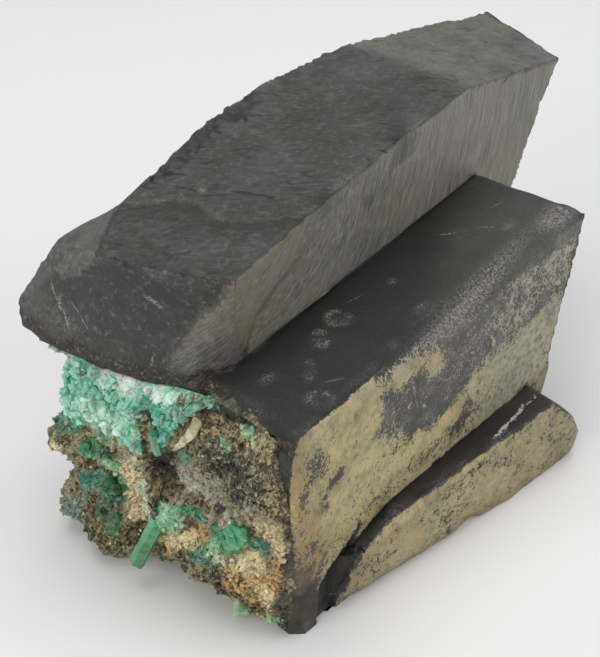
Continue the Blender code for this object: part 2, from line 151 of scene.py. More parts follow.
SHALE_DEPTH, SHALE_SCALE = 8, 0.79
SHARPEST_EDGE = 0.25
BROKEN_EDGE_ANGLE = math.radians(38)


def hashed(cells, seed):
    """A steady random number from 0 to 1 for each whole-number cell: its numbers times primes, mixed."""
    mixed = cells[..., 0] * 73856093 ^ cells[..., 1] * 19349663 ^ cells[..., 2] * 83492791
    mixed = (mixed + seed * 40503) * 2654435761 & 0xFFFFFFFF
    mixed = (mixed ^ mixed >> 15) * 2246822519 & 0xFFFFFFFF
    mixed = (mixed ^ mixed >> 13) * 3266489917 & 0xFFFFFFFF
    return ((mixed ^ mixed >> 16) & 0xFFFFFF) / 0xFFFFFF


def noise(places, size, seed=0):
    """Gradient noise, about -1 to 1: a random slope at each corner of a cube, blended between the corners
    by 6t^5 - 15t^4 + 10t^3."""
    scaled = np.asarray(places) / size
    cells = np.floor(scaled).astype(np.int64)
    inside = scaled - cells
    blend = inside ** 3 * (inside * (inside * 6 - 15) + 10)
    total = np.zeros(len(scaled))
    for corner in product((0, 1), repeat=3):
        slopes = np.stack([hashed(cells + corner, seed * 3 + axis) for axis in range(3)], axis=1) * 2 - 1
        weight = np.prod(np.where(corner, blend, 1 - blend), axis=1)
        total += weight * ((inside - corner) * slopes).sum(axis=1)
    return total * 1.6


def fractal(places, size, seed=0, layers=4, gain=0.5):
    """Noise added up, each layer half the size and a share of the height of the one before."""
    return sum(noise(places, size / 2 ** layer, seed + layer) * gain ** layer for layer in range(layers))


def ridged(places, size, seed=0, layers=3):
    """Sharp crests, from 0 to about 1: one less the distance of noise from zero, each layer half the size
    and half the height of the one before."""
    return sum((1 - np.abs(noise(places, size / 2 ** layer, seed + layer)) * 2) * 0.5 ** (layer + 1)
               for layer in range(layers))


def step_up(value, low, high):
    """0 below low, 1 above high, and 3t^2 - 2t^3 between."""
    t = np.clip((value - low) / (high - low), 0, 1)
    return t * t * (3 - 2 * t)


def terrace(value, tread, sharpness=0.2):
    """A staircase: whole treads, joined by risers that take a share of each tread."""
    level = np.floor(value / tread)
    return (level + step_up(value / tread - level, 1 - sharpness, 1)) * tread


def patch(across, up, centre, radii, tilt=0.0):
    """1 at the middle of an ellipse, falling as the bell exp(-d^2), where d is 1 on its outline."""
    turn = math.radians(tilt)
    a, b = across - centre[0], up - centre[1]
    along, over = a * math.cos(turn) + b * math.sin(turn), b * math.cos(turn) - a * math.sin(turn)
    return np.exp(-(along / radii[0]) ** 2 - (over / radii[1]) ** 2)


def patches(across, up, rows):
    """Patches added up: each row is a middle, a reach, a tilt where it has one, and a strength."""
    return sum(patch(across, up, centre, radii, *tilt) * strength
               for centre, radii, *tilt, strength in rows.values())


def along_line(points, values):
    """Values read along a list of (place, value) points, straight between them."""
    places, heights = np.array(points).T
    return np.interp(values, places, heights)


def merged_copy(node):
    """A copy of a CAD node's mesh with its loose triangles joined."""
    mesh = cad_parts[node].data.copy()
    shape = bmesh.new()
    shape.from_mesh(mesh)
    bmesh.ops.remove_doubles(shape, verts=shape.verts, dist=0.01 * MM)
    shape.to_mesh(mesh)
    shape.free()
    return mesh


def read(mesh, kind, width):
    """A mesh's vertex values as an array."""
    values = np.empty(len(mesh.vertices) * width)
    mesh.vertices.foreach_get(kind, values)
    return values.reshape(-1, width)


def spread(values, links, rounds):
    """Smooths vertex values along edges: each round gives a vertex the mean of itself and its
    neighbours."""
    ends = np.concatenate([links, links[:, ::-1]])
    count = np.bincount(ends[:, 0], minlength=len(values)) + 1
    for _ in range(rounds):
        values = (np.bincount(ends[:, 0], values[ends[:, 1]], minlength=len(values)) + values) / count
    return values


def store(mesh, name, values):
    """Keeps an array as a vertex attribute: one number, or three as a vector."""
    kind = "FLOAT" if values.ndim == 1 else "FLOAT_VECTOR"
    layer = mesh.attributes.new(name, kind, "POINT")
    layer.data.foreach_set("value" if values.ndim == 1 else "vector", values.astype(np.float32).ravel())


def store_all(mesh, marks, corners=1):
    """Keeps each mark as a vertex attribute, where a crystal's one value goes to all of its corners."""
    for name, values in marks.items():
        store(mesh, name, np.repeat(values, corners, axis=0))


dense = bpy.data.objects.new("shale copy", merged_copy("black_shale"))
bpy.context.scene.collection.objects.link(dense)
remesh = dense.modifiers.new("even facets", "REMESH")
remesh.mode, remesh.octree_depth, remesh.scale = "SHARP", SHALE_DEPTH, SHALE_SCALE
bpy.context.view_layer.update()
shale_mesh = bpy.data.meshes.new_from_object(dense.evaluated_get(bpy.context.evaluated_depsgraph_get()))
bpy.data.objects.remove(dense)
shale_mesh.name = "shale"

p = read(shale_mesh, "co", 3) / MM
n = read(shale_mesh, "normal", 3)
x, y, z = p.T
links = np.empty(len(shale_mesh.edges) * 2, dtype=np.int32)
shale_mesh.edges.foreach_get("vertices", links)
links = links.reshape(-1, 2)
middle = np.stack([spread(axis, links, 1) for axis in p.T], axis=1)
crest = np.clip(((p - middle) * n).sum(axis=1), 0, SHARPEST_EDGE) / SHARPEST_EDGE
near_edge = np.clip(spread(crest, links, 5) * 5, 0, 1)
broad_n = np.stack([spread(axis, links, 3) for axis in n.T], axis=1)
nx, ny, nz = broad_n.T

# Each broken face of the stone, from where it lies and how it faces: the heights and places, in
# millimetres, that part it from the next one

SLAB_FOOT, SLAB_RIDGE, SLAB_SIDE = 59.4, 78, -8
MIDDLE_TOP_LOW, MIDDLE_TOP_HIGH = 52, 72
COATED_SIDE, LEDGE_SIDE, LEDGE_TOP = -31, -30, 25
slab_top = step_up(nz, 0.45, 0.65) * (z > SLAB_RIDGE)
slab_side = step_up(-ny, 0.6, 0.8) * (z > 51) * (y > SLAB_SIDE) * (y < 2)
front = step_up(-nx, 0.2, 0.45) * (z > SLAB_FOOT) * (y > SLAB_SIDE) * (x < -40)
middle_top = step_up(nz, 0.5, 0.7) * (z > MIDDLE_TOP_LOW) * (z < MIDDLE_TOP_HIGH) * (y < 0)
coated_side = step_up(-ny, 0.5, 0.8) * (y < COATED_SIDE) * (z > 14 + (x + 80) * 0.1)
ledge = (y < LEDGE_SIDE) * (z < LEDGE_TOP) * (1 - coated_side)
CREASE_START, CREASE_END = np.array((-61.9, 39.4)), np.array((-78.4, 30.6))
crease_out = np.array((CREASE_END[1] - CREASE_START[1], CREASE_START[0] - CREASE_END[0]))
beyond_crease = (np.stack([x, y], axis=1) - CREASE_START) @ (crease_out / np.linalg.norm(crease_out))
left_facet = np.clip(step_up(ny, 0.25, 0.5) * (z > 62) * (x < -45)
                     + step_up(beyond_crease, -0.1, 0.3) * (nz > 0.3) * (z > SLAB_RIDGE) * (x < -60), 0, 1)
slab_top = slab_top * (1 - left_facet)
corner_facet = (step_up(-nx, 0.12, 0.25) * step_up(-ny, 0.1, 0.2) * (x < -58) * (y > SLAB_SIDE) * (y < 12)
                * (z > SLAB_FOOT))
front = np.clip(front + corner_facet * (1 - slab_top), 0, 1)
slab_side = slab_side * (1 - front)
CORNER_BORDER = [(63.1, 9.6), (68.4, 8.1), (74.1, 5.2), (81.9, 0.4), (87.8, -3.0)]
inside_border = along_line(CORNER_BORDER, z) - y + fractal(p, 5, 25, 3) * 1.2
striated = front * step_up(inside_border, -1.0, 1.6)
CORNER_STREAK = [(-66, 60), (-63.5, 65.2), (-59, 74), (-51, 78), (-40, 82), (-30, 88), (-26, 99)]
above_streak = z - along_line(CORNER_STREAK, x) + fractal(p, 4, 35, 3) * 0.8
corner_side = slab_side * step_up(above_streak, -0.4, 0.8)
seen_faces = np.clip(slab_top + slab_side + front + middle_top + coated_side + ledge + left_facet, 0, 1)
hidden = 1 - seen_faces
foot = step_up(z, 0.2, 1.5)

# The way that fracture lines run on each face: millimetres across them, and along them. On the slab's
# side they are arcs around one point, and on its front they fan out from another.

ARC_CENTRE, ARC_REACH = (-58, 99), 60
FAN_CENTRE, FAN_REACH = (49, 92), 34
arc = np.hypot(x - ARC_CENTRE[0], z - ARC_CENTRE[1])
arc_turn = np.arctan2(z - ARC_CENTRE[1], x - ARC_CENTRE[0]) * ARC_REACH
fan = np.arctan2(z - FAN_CENTRE[1], y - FAN_CENTRE[0]) * FAN_REACH
fan_out = np.hypot(y - FAN_CENTRE[0], z - FAN_CENTRE[1])
sway = fractal(p, 34, 3, 2) * 5
flow = np.stack([z + sway * 0.5, x * 0.12 + y * 0.12, x * 0], axis=1)
for weight, across, along in (
        (slab_top, 0.788 * x + 0.616 * y + sway, (0.616 * x - 0.788 * y) * 0.16),
        (slab_side, arc + sway * 0.3, arc_turn * 0.05),
        (front, fan + sway * 0.5, fan_out * 0.12),
        (left_facet, 0.5 * x + 0.8 * z + sway, (x - z) * 0.6),
        (striated, z * 0.72 + y * 0.7, (z * 0.7 - y * 0.72) * 0.12),
        (corner_side, z * 0.72 - (x + 62) * 0.6 - 2.4, (z * 0.7 + x * 0.72) * 0.12),
        (middle_top, x * 0.5 + y * 0.8 + sway, (x - y) * 0.6),
        (coated_side, x * 0.8 - z * 0.5, (x * 0.5 + z * 0.8) * 0.3),
        (ledge, z + y * 0.4 + sway, x * 0.3)):
    chosen = weight > 0.5
    flow[chosen, 0], flow[chosen, 1] = across[chosen], along[chosen]

# Relief, in millimetres outwards from the solid's own faces: waves and hackles that run with the
# fracture lines, the steps of a shell-like break, and bedding where the stone is hidden

wave = fractal(flow * (1, 2.2, 1), 16, 11, 3)
hackle = ridged(flow * (1, 1.2, 1), 3.4, 17)
swell = fractal(p, 24, 23, 2) * 2.4
conchoid = terrace(swell, 0.55, 0.12) - swell
bedding = terrace(z + fractal(p, 22, 31, 3) * 3, 3.1, 0.35) - z
chips = np.clip(fractal(p, 4.2, 41, 3) - 0.12, 0, 1)
TONGUE_EDGE = [(-4, -37), (6.7, -46.8), (13.2, -50.8), (24.5, -49.8), (30, -51.3), (37, -57), (45, -61)]
tongue_x = along_line(TONGUE_EDGE, y) + fractal(p, 6, 27, 3) * 0.6
tongue = slab_top * step_up(tongue_x - x, -0.3, 0.5)
# A painted highlight: a pale line just above the tongue's step, along its top edge
painted_lip_highlight = slab_top * np.exp(-((tongue_x - x + 0.7) / 0.9) ** 2) * np.clip(0.6 + fractal(p, 5, 29, 2), 0, 1)

# Scallops that were chipped from the slab's far ridge, each about three millimetres wide

RIDGE_SCALLOPS = 3.4
SCALLOP_FOOT = [(-51, 40.0), (-42, 37.6), (-33, 38.4), (-25, 38.2), (-18, 39.0), (-14, 35.8), (-5, 38.4),
                (-2, 43)]
scallop_place = (x * 0.8 - y * 0.6 + fractal(p, 7, 47, 3) * 2.2) / RIDGE_SCALLOPS
scallop = np.abs(scallop_place - np.round(scallop_place)) * 2
into_ridge = y - along_line(SCALLOP_FOOT, x) - scallop * 2.6 + 1.2
scallops = slab_top * step_up(into_ridge, 0, 0.8) * step_up(x, -56, -44) * step_up(-x, 1, 5)

# The lower end of the hollow between the coated side and the ledge, down to the foot: its middle line
# and its half width at each height

HOLLOW_RUN = [(0, -71.2), (4.6, -71), (8, -70.2), (11, -69.2), (14, -66.4), (16.5, -62.6), (20, -57)]
HOLLOW_HALF = [(0, 3.5), (4, 3.8), (11, 4.1), (14, 4.2), (16, 2.9), (18.5, 1.6), (21, 0)]
from_run = np.abs(x - along_line(HOLLOW_RUN, z) + fractal(p, 5, 43, 3) * 0.8)
hollow_run = step_up(along_line(HOLLOW_HALF, z) - from_run, -0.4, 1.0)
hollow_run = hollow_run * (y < LEDGE_SIDE) * (nz < 0.8) * (x < -50)

# Chips that broke out of the slab's upper edge, and the fuller places where the stone swells a little

EDGE_CHIPS = {
    "chip at the middle": ((2.4, -2.2), (4.2, 1.9), -6, 1),
    "chip, near": ((-29.4, -1.4), (5.4, 1.7), -6, 1),
}
edge_chips = patches(x, y, EDGE_CHIPS) * (z > 88)
from_crease = step_up(np.abs(beyond_crease), 0.5, 8)
far_end = step_up(nx, 0.3, 0.6)
fullness = (0.05 + left_facet * from_crease * 0.7 + front * step_up(y, 30, 44) * 0.5
            + slab_top * patch(x, y, (-14, 43), (15, 7)) * 1.9
            + step_up(nx, 0.4, 0.8) * np.where(z < 70, 0.4, -0.5) + middle_top * step_up(x, 0, 30) * 0.6
            + ledge * 0.4)
fullness = spread(fullness, links, 8)

# Each face's slow swell: how wide and how high it is, and the seed of its noise. The relief sinks or
# raises the skin by no more than the two limits.

FACE_SWELLS = ((front, 20, 0.8, 5), (slab_side, 22, 0.45, 7), (middle_top, 24, 0.3, 9),
               (coated_side, 18, 0.22, 13), (ledge, 9, 0.4, 15), (left_facet, 24, 0.5, 19))
MOST_SUNK, MOST_RAISED = -3.5, 1.6
relief = sum(face * fractal(p, width, seed, 3) * rise for face, width, rise, seed in FACE_SWELLS)
relief += slab_top * (wave * 0.9 + hackle * 0.3 + conchoid * 1.1)
relief += front * (hackle * 0.08 + conchoid * 0.6) + slab_side * hackle * 0.08
relief += hidden * (bedding * 0.3 + fractal(p, 14, 21, 4) * 0.6) * (1 - far_end * 0.5)
relief -= tongue * from_crease * 0.9 + edge_chips * 1.5 + hollow_run * 2.2
relief -= scallops * (0.6 + np.clip(into_ridge, 0, 3) * 0.1 - scallop * 0.6)
relief -= near_edge * chips * np.where(hidden > 0.5, 0.9 - far_end * 0.5, 0.35)
relief = np.clip(relief + fullness, MOST_SUNK, MOST_RAISED)
every_way = np.ones_like(foot)
p = p + n * relief[:, None] * np.stack([every_way, every_way, foot], axis=1)
p[:, 2] = np.maximum(p[:, 2], 0)
shale_mesh.vertices.foreach_set("co", (p * MM).ravel())

# Where the clay film, its bare flakes, stains, bruises and dust lie. A row holds its middle, its reach
# each way, its tilt and its strength.

FLAKE_FOOT = [(-50, 46), (-48, 43.4), (-43, 41.5), (-35, 39.3), (-26, 32.4), (-22, 34.6), (-15, 38.8),
              (-8, 41.4), (3, 41.6), (14, 43.3), (27, 45.5)]
BARE_PLACES = {
    "flake, near": ((-64.4, 42.0), (3.6, 1.8), 20, 0.42),
    "flake, low": ((-69.2, 36.4), (1.4, 3.2), 10, 0.38),
    "specks, near": ((-71.8, 50), (3.6, 5), 20, 0.25),
    "specks by the low corner": ((-75.4, 26.7), (3.4, 3.0), 0, 0.24),
    "low corner": ((-75.5, 17), (5, 5), 0, 0.16),
    "streaks, near": ((-77, 42), (2.0, 8), -12, 0.2),
    "specks below the flake": ((-39, 36.6), (10, 4), 15, 0.17),
    "specks beside the flake": ((-13, 31), (8, 5), 30, 0.2),
    "streak to the far side": ((20, 46), (9, 1.8), 12, 0.2),
    "specks along the foot": ((-30, 26), (36, 3.2), 5, 0.16),
    "brown foot": ((-66, 17), (14, 6), 8, 0.14),
    "near foot": ((-81, 2), (6, 10), 10, 0.5),
    "near edge": ((-84.2, 34), (1.9, 34), 0, 0.6),
    "near edge, low": ((-80, 19), (2.6, 9), 0, 0.32),
}
FILM_ISLANDS = {
    "tongue of film": ((-38.6, 57.8), (10.6, 3.0), 0, 0.42),
    "end of the tongue": ((-26.2, 53.6), (3.0, 3.8), 15, 0.36),
    "patch by the ledge": ((-17.5, 33), (3.2, 3), 30, 0.14),
}
ragged = fractal(p, 7, 51, 4) * 2.2
flake = step_up(z - along_line(FLAKE_FOOT, x) + ragged, -3, 3) * step_up(x + 48.8 + ragged, -2, 2.4)
far_side = step_up(x, -16, 16)
film = 0.66 + fractal(p, 9, 55, 3) * 0.08 - flake * (0.34 - far_side * 0.16)
film = film - patches(x, z, BARE_PLACES) + patches(x, z, FILM_ISLANDS)
film = film - step_up(z, 60.6, 62.4) * step_up(x, -50, -45) * 0.3
film_on_ledge = 0.61 + fractal(p, 7, 53, 3) * 0.14 - step_up(nz, 0.35, 0.75) * 0.6
film_on_ledge = film_on_ledge - patch(x, z, (-80, 4), (6, 13)) * 0.9
film = film * coated_side + film_on_ledge * ledge * (1 - coated_side) - hollow_run * 0.9
ashen = coated_side * np.clip(step_up(x, -22, 10) * 0.8 + patch(x, z, (-6, 62), (40, 6)) * 0.6, 0, 1)
ashen = ashen + ledge * 0.35

# Rings that small blows left on the middle block's top, and spots of dust, which name their face first

RING_BRUISES = {
    "ring by the slab": ((-37.3, -11.9), (3.5, 3.5), -52, 1.0),
    "ring, second": ((-46.5, -13.6), (2.4, 3.6), -52, 0.9),
    "ring, third": ((-57.5, -18.6), (1.3, 3.8), -52, 0.5),
    "ring at the corner": ((-64, -27), (3.7, 3.2), -60, 0.65),
}
SCUFFS = {
    "scuff by the crust": (middle_top, x, y, (-66, -12.5), (2.0, 1.2), 0, 0.5),
    "scuff, middle": (middle_top, x, y, (-16.3, -13.9), (1.3, 1.0), 25, 0.5),
    "scuff, second middle": (middle_top, x, y, (-20.8, -26), (2.8, 1.1), 0, 0.45),
    "scuff, far": (middle_top, x, y, (22.8, -24.8), (2.4, 1.2), 10, 0.5),
    "dust along the outer edge": (middle_top, x, y, (-12, -32.4), (30, 2.5), 3, 1.0),
    "dust at the far corner": (middle_top, x, y, (34.5, -32.8), (8, 3.4), 0, 1.3),
    "dust above the flake": (coated_side, x, z, (-22, 61.6), (28, 4), 2, 0.72),
    "dust on the front": (front, y, z, (38, 67.5), (7, 5), 20, 0.32),
    "white chip on the slab": (slab_top, x, y, (-43.9, 26.1), (0.9, 0.9), 0, 1.5),
    "blow at the far end": (slab_side, x, z, (70.5, 76.9), (1.8, 3.2), 20, 1.3),
}
scuff = near_edge * np.clip(0.1 + 0.4 * fractal(p, 7, 61, 2), 0, 0.5) * seen_faces
for centre, radii, tilt, strength in RING_BRUISES.values():
    away = np.sqrt(-np.log(np.maximum(patch(x, y, centre, radii, tilt), 1e-9)))
    whole = np.clip(0.6 + fractal(p, 3.4, 73, 2) * 1.1, 0.1, 1)
    rim = np.exp(-((away - 0.85) / 0.22) ** 2) * 0.8
    scuff = np.maximum(scuff, middle_top * whole * (rim + (away < 0.85) * 0.3) * strength)
for face, across, up, centre, radii, tilt, strength in SCUFFS.values():
    scuff = np.maximum(scuff, face * patch(across, up, centre, radii, tilt) * strength)
flake_dust = np.clip(0.2 + fractal(p, 6, 71, 3) * 0.8 + step_up(x, -30, -5) * 0.14, 0, 0.75)
# The last part adds the painted highlight along the tongue's step to the pale marks of bruises and dust
scuff = np.maximum.reduce([scuff, coated_side * flake * flake_dust, painted_lip_highlight * step_up(y, 10, 16) * 0.3])


# A distance that stands for nothing near, in millimetres or in widths of what is measured

FAR_AWAY = 9.0


def nearest_line(drawn):
    """Thin straight marks on the faces. Gives how far each place is to the side of the nearest mark, as a
    signed share of its width, and how near it is: a bell of the distance past its ends and beside it."""
    beside, here = np.full(x.shape, FAR_AWAY), np.zeros(x.shape)
    for face, across, up, start, end, width in drawn.values():
        ahead = np.subtract(end, start)
        length = np.hypot(*ahead)
        a, b = across - start[0], up - start[1]
        along = (a * ahead[0] + b * ahead[1]) / length
        side = (b * ahead[0] - a * ahead[1]) / length
        past = np.maximum(np.maximum(-along, along - length), 0)
        bell = face * np.exp(-(past / 0.9) ** 2 - (side / 1.8) ** 2)
        beside, here = np.where(bell > here, side / width, beside), np.maximum(bell, here)
    return beside, here


# Grooves and scratches: the face, the two ways across it, where each starts and ends, and its width

GROOVES = {
    "slab, by the ridge": (slab_top, x, y, (-26.5, 29.3), (-22.3, 24.6), 0.35),
    "slab, wide": (slab_top, x, y, (-40.0, 17.4), (-37.7, 8.8), 0.6),
    "slab, above the lip": (slab_top, x, y, (-42.3, 40), (-41.1, 34.8), 0.35),
    "slab, at the white chip": (slab_top, x, y, (-45.9, 32.7), (-45.0, 27.2), 0.5),
    "slab, past the chip": (slab_top, x, y, (-45.5, 23.5), (-43, 19.9), 0.35),
    "slab, near the front": (slab_top, x, y, (-71.6, 8.2), (-69.4, 4.0), 0.35),
    # The next two are painted shadow: dark lines along the step at the crease
    "slab, step at the crease": (slab_top, x, y, (-73, 33.4), (-70.3, 28.4), 0.25),
    "foot of the crease": (slab_top, x, y, (-75.4, 32.0), (-78.0, 30.8), 0.3),
    "hole at the far edge": (slab_side, x, z, (63.6, 89.8), (65.2, 89.6), 0.7),
    "second hole there": (slab_side, x, z, (51.0, 91.0), (52.4, 91.5), 0.6),
}
SCRATCHES = {
    "front, first": (front, y, z, (43.6, 75.3), (39.3, 70.0), 0.25),
    "front, second": (front, y, z, (40.8, 73.6), (36.8, 67.5), 0.2),
    "front, third": (front, y, z, (36.2, 72.8), (30.6, 68.5), 0.18),
    "front, by the druse": (front, y, z, (12.2, 66.4), (12.4, 64.4), 0.4),
    "front, below the chip": (front, y, z, (15.8, 80.6), (12.8, 79.4), 0.5),
    "top of the middle block, far": (middle_top, x, y, (28, -16.5), (30, -16.9), 0.2),
    "top, second": (middle_top, x, y, (18, -19.6), (19, -20.9), 0.2),
    "top, third": (middle_top, x, y, (8.6, -12.6), (10.8, -14.6), 0.2),
    "top, fourth": (middle_top, x, y, (-29.2, -10.2), (-27.2, -10.7), 0.2),
    "top, fifth": (middle_top, x, y, (-57.3, -25), (-55.9, -26), 0.25),
    "flake, first": (coated_side, x, z, (-35.2, 53.6), (-33.5, 44.8), 0.2),
    "flake, second": (coated_side, x, z, (-36.8, 52), (-42.6, 46.5), 0.2),
    "flake, third": (coated_side, x, z, (-22.4, 59.9), (-29.5, 57.2), 0.22),
}
groove_side, groove_near = nearest_line(GROOVES)
scratch_side, scratch_near = nearest_line(SCRATCHES)

# Shares of the faces that take stains of their own: the slab's corner and how far up it each place is,
# the brushed rest of its side, the far end of its top, and the ledge without its top

corner = striated + corner_side * step_up(-x, 34, 54)
brushed = slab_side * (1 - corner)
toward_top = step_up(z + (x + 62) * 0.5, 64, 78)
far_top = slab_top * step_up(x, 30, 38)
ledge_side = ledge * (1 - step_up(nz, 0.3, 0.7))

# The patches of each mark: the face, the two ways across it, and their middle, reach, tilt and strength

MARK_PATCHES = {
    "rust": [
        (slab_side, x, z, (39.9, 66), (7, 2), 0, 0.8), (slab_side, x, z, (1.7, 76.5), (1.4, 2.6), 0, 0.9),
        (slab_side, x, z, (-6.7, 76.6), (3.4, 2.2), 0, 0.7),
        (slab_side, x, z, (-21.3, 85.3), (3, 2.2), 0, 0.5), (slab_side, x, z, (-54, 88), (20, 5), 18, 0.6),
        (coated_side, x, z, (-17, 32), (6, 3.4), 0, 0.7),
        (coated_side, x, z, (-27.5, 54.6), (4, 3.2), 0, 0.7),
        (coated_side, x, z, (-60, 22), (14, 4), 0, 0.7), (coated_side, x, z, (-74, 20), (7, 14), 0, 0.5),
        (ledge_side, x, z, (-50, 16.6), (8, 2.6), 0, 0.8),
        (ledge_side, x, z, (-61, 8), (4, 6), 0, 0.4), (ledge_side, x, z, (-80, 6), (7, 13), 0, 0.25),
    ],
    "olive": [
        (brushed, x, z, (64, 78), (12, 12), 0, -0.5), (brushed, x, z, (-32, 68), (12, 5), 0, 0.55),
    ],
    "pale": [
        (front, y, z, (50, 69), (6, 8), 0, 0.7), (coated_side, x, z, (-24, 62.4), (24, 2.6), 2, 0.5),
    ],
    "dark": [
        (slab_top, x, y, (-71.5, 9.5), (4.4, 2.2), 35, 0.7), (ledge, x, z, (-81, 3), (6, 8), 0, 0.35),
        (slab_top + front, y, z, (11.5, 82), (3.6, 2.4), 0, 0.6),
        # The next is a painted shadow: a dark wedge at the slab's corner, where the striated front meets
        # its side
        (slab_side + front, x, z, (-63.2, 64.8), (1.3, 2.8), 30, 0.9),
        (slab_side, x, z, (-13.4, 84), (3, 4), 30, 0.3),
    ],
    "worn": [
        (coated_side, x, z, (-79, 57), (5, 9), 0, 0.8), (coated_side, x, z, (-69, 38), (7, 10), 0, 0.35),
        (coated_side, x, z, (-76, 25), (8, 11), 0, 0.6),
    ],
}
rust, olive, pale, dark, worn = (
    sum(face * patch(across, up, centre, radii, tilt) * strength
        for face, across, up, centre, radii, tilt, strength in rows) for rows in MARK_PATCHES.values())
rust += slab_side * (step_up(-z, -76, -62) * 0.35 + step_up(-x, 26, 66) * 0.4)
rust += coated_side * (step_up(-x, 71, 79) * 0.8 + np.clip(fractal(p, 10, 57, 2), 0, 1) * 0.5)
rust += hidden * np.clip(fractal(p, 24, 63, 3), 0, 1) * 0.5
rust += ledge_side * (0.36 + fractal(p, 9, 59, 2) * 0.7 + step_up(-z, -6, -2) * step_up(x, -56, -44) * 0.4)
rust = rust * (1 - corner_side * 0.4) + corner * (0.22 + 0.32 * toward_top)
olive += brushed * (0.5 + step_up(-x, 20, 60) * 0.25 + step_up(x, -5, 12) * 0.44)
olive += brushed * step_up(x, -34, -20) * 0.06 + corner * (0.25 + 0.7 * toward_top) + far_top * 0.55
pale += left_facet + far_top * 0.75 + (slab_top - far_top) * (0.29 - tongue * 0.1) + hidden * 0.2
pale += front * 0.1 + brushed * (0.8 + step_up(x, -10, 40) * 0.25) + corner * (0.2 + 0.4 * toward_top)
pale += middle_top * step_up(x, -6, 30) * step_up(-y, 10, 24) * 0.3 + coated_side * (0.4 + flake * 0.3)
pale += slab_side * step_up(x, 46, 62) * fractal(p, 6, 75, 3) * 0.9
# Painted shade in the scallops, darkest in the lines between them, and in the hollow at the foot; the chips
# from the edge are darker too
dark += scallops * (0.6 - scallop * 0.4 + (scallop < 0.35) * 0.5) + edge_chips * 0.7 + hollow_run * 0.5
dark += slab_side * np.exp(-(above_streak / 1.1) ** 2) * step_up(-x, 34, 44) * 0.5
worn += ledge * (0.22 + step_up(x, -20, 24) * 0.45 + step_up(-x, 54, 68) * 0.45)
worn += ledge * step_up(-z, -4.5, -1.5) * 0.35 + (coated_side + ledge) * fractal(p, 9, 77, 3) * 0.4
contact = front * step_up(-z + fractal(p, 6, 67, 3) * 1.6, -65.4, -62.6)
contact += (hidden + front) * step_up(-z, -61.2, -60) * (x < -70) * (z > 57)
polished = (middle_top * (0.97 - step_up(x * 0.5 - y, 12, 25))
            + ledge * step_up(nz, 0.35, 0.75) * step_up(-x, -8, 6) * 0.6)

# How far in millimetres each place is from the white vein on the ledge, which thins out at both ends

VEIN_LINE = [(-20, 45.2), (10, 44.0), (24, 43.2)]
VEIN_MIDDLE = 2
from_vein = np.abs(y + along_line(VEIN_LINE, x) + fractal(p, 5, 65, 3) * 0.8)
from_vein = np.where((ledge > 0.5) & (z > 12), from_vein, FAR_AWAY)
from_vein = from_vein + step_up(np.abs(x - VEIN_MIDDLE), 10, 16) * 3

# What the material reads at each place: shares from 0 to 1, levels, and distances

MARKS = {
    "hackles": slab_top * 0.9 + slab_side * 0.3 + front * 0.4 + striated * 0.4 + left_facet * 0.2
    + middle_top * 0.2 + flake * coated_side * 0.6 + hidden * 0.6,
    "fibres": slab_side * (0.85 - corner_side * 0.3) + striated * 0.42, "film": film, "ashen": ashen,
    "dusty": front * 0.8 + left_facet * 0.8 + middle_top * 0.12 + slab_top * 0.2 + slab_side * 0.3,
    "tongue": np.where(slab_top > 0.5, tongue_x - x, -FAR_AWAY), "vein": from_vein,
    "groove side": groove_side, "groove near": groove_near,
    "scratch side": scratch_side, "scratch near": scratch_near,
}
MARKS |= {name: np.clip(values, 0, 1) for name, values in {
    "scuff": scuff, "rust": rust, "contact": contact, "olive": olive, "pale": pale, "dark": dark,
    "worn": worn, "polished": polished}.items()}
store(shale_mesh, "flow", flow)
store_all(shale_mesh, MARKS)


def in_millimetres(material):
    """Nodes: the place on the object, in millimetres."""
    place = add(material, "TexCoord", out="Object")
    return add(material, "VectorMath", {0: place, 1: (1000, 1000, 1000)}, operation="MULTIPLY")


def layered(material, body, layers):
    """Nodes: colours laid over the body one by one. Each layer is the value that shows it, where it
    starts and is full, its strength, its colour, and the mark that holds it to its place, if any."""
    for value, low, high, strength, tint, *marks_of in layers:
        shown = add(material, "MapRange", {"Value": value, "From Min": low, "From Max": high,
                                           "To Max": strength})
        for mark in marks_of:
            shown = add(material, "Math", {0: shown, 1: mark}, operation="MULTIPLY")
        body = add(material, "Mix", {"Factor": shown, "A": body, "B": tint}, data_type="RGBA")
    return body


# Carbonaceous shale, broken: near black, satin on fresh faces, finely ridged, with a film of iron clay
# that has flaked off in places and pale bruises where it was struck

shale = new_material("carbonaceous shale, broken")
in_mm = in_millimetres(shale)
lines = add(shale, "Attribute", out="Vector", attribute_name="flow")
marks = {name: add(shale, "Attribute", out="Fac", attribute_name=name) for name in MARKS}

# Each noise: its space, the width of its lumps in millimetres, layers, and how strong the fine ones are

SHALE_NOISES = {
    "cloud": (in_mm, 12, 4, 0.55), "blotch": (in_mm, 5, 5, 0.65), "grit": (in_mm, 1.7, 5, 0.75),
    "fine": (in_mm, 0.9, 4, 0.7), "speck": (in_mm, 0.55, 3, 0.6), "streak": (lines, 0.66, 5, 0.66),
    "hair": (lines, 0.3, 3, 0.7), "groove": (lines, 7, 2, 0.5), "rough": (in_mm, 11, 3, 0.5),
    "swirl": (in_mm, 15, 4, 0.6), "ribbon": (lines, 1.0, 4, 0.7),
}
noises = {name: add(shale, "TexNoise", {"Vector": space, "Scale": 1 / size, "Detail": layers,
                                        "Roughness": fineness})
          for name, (space, size, layers, fineness) in SHALE_NOISES.items()}

# Each layer of colour: the noise that breaks it up, where it starts and is full, its mark, its strength
# and its colour

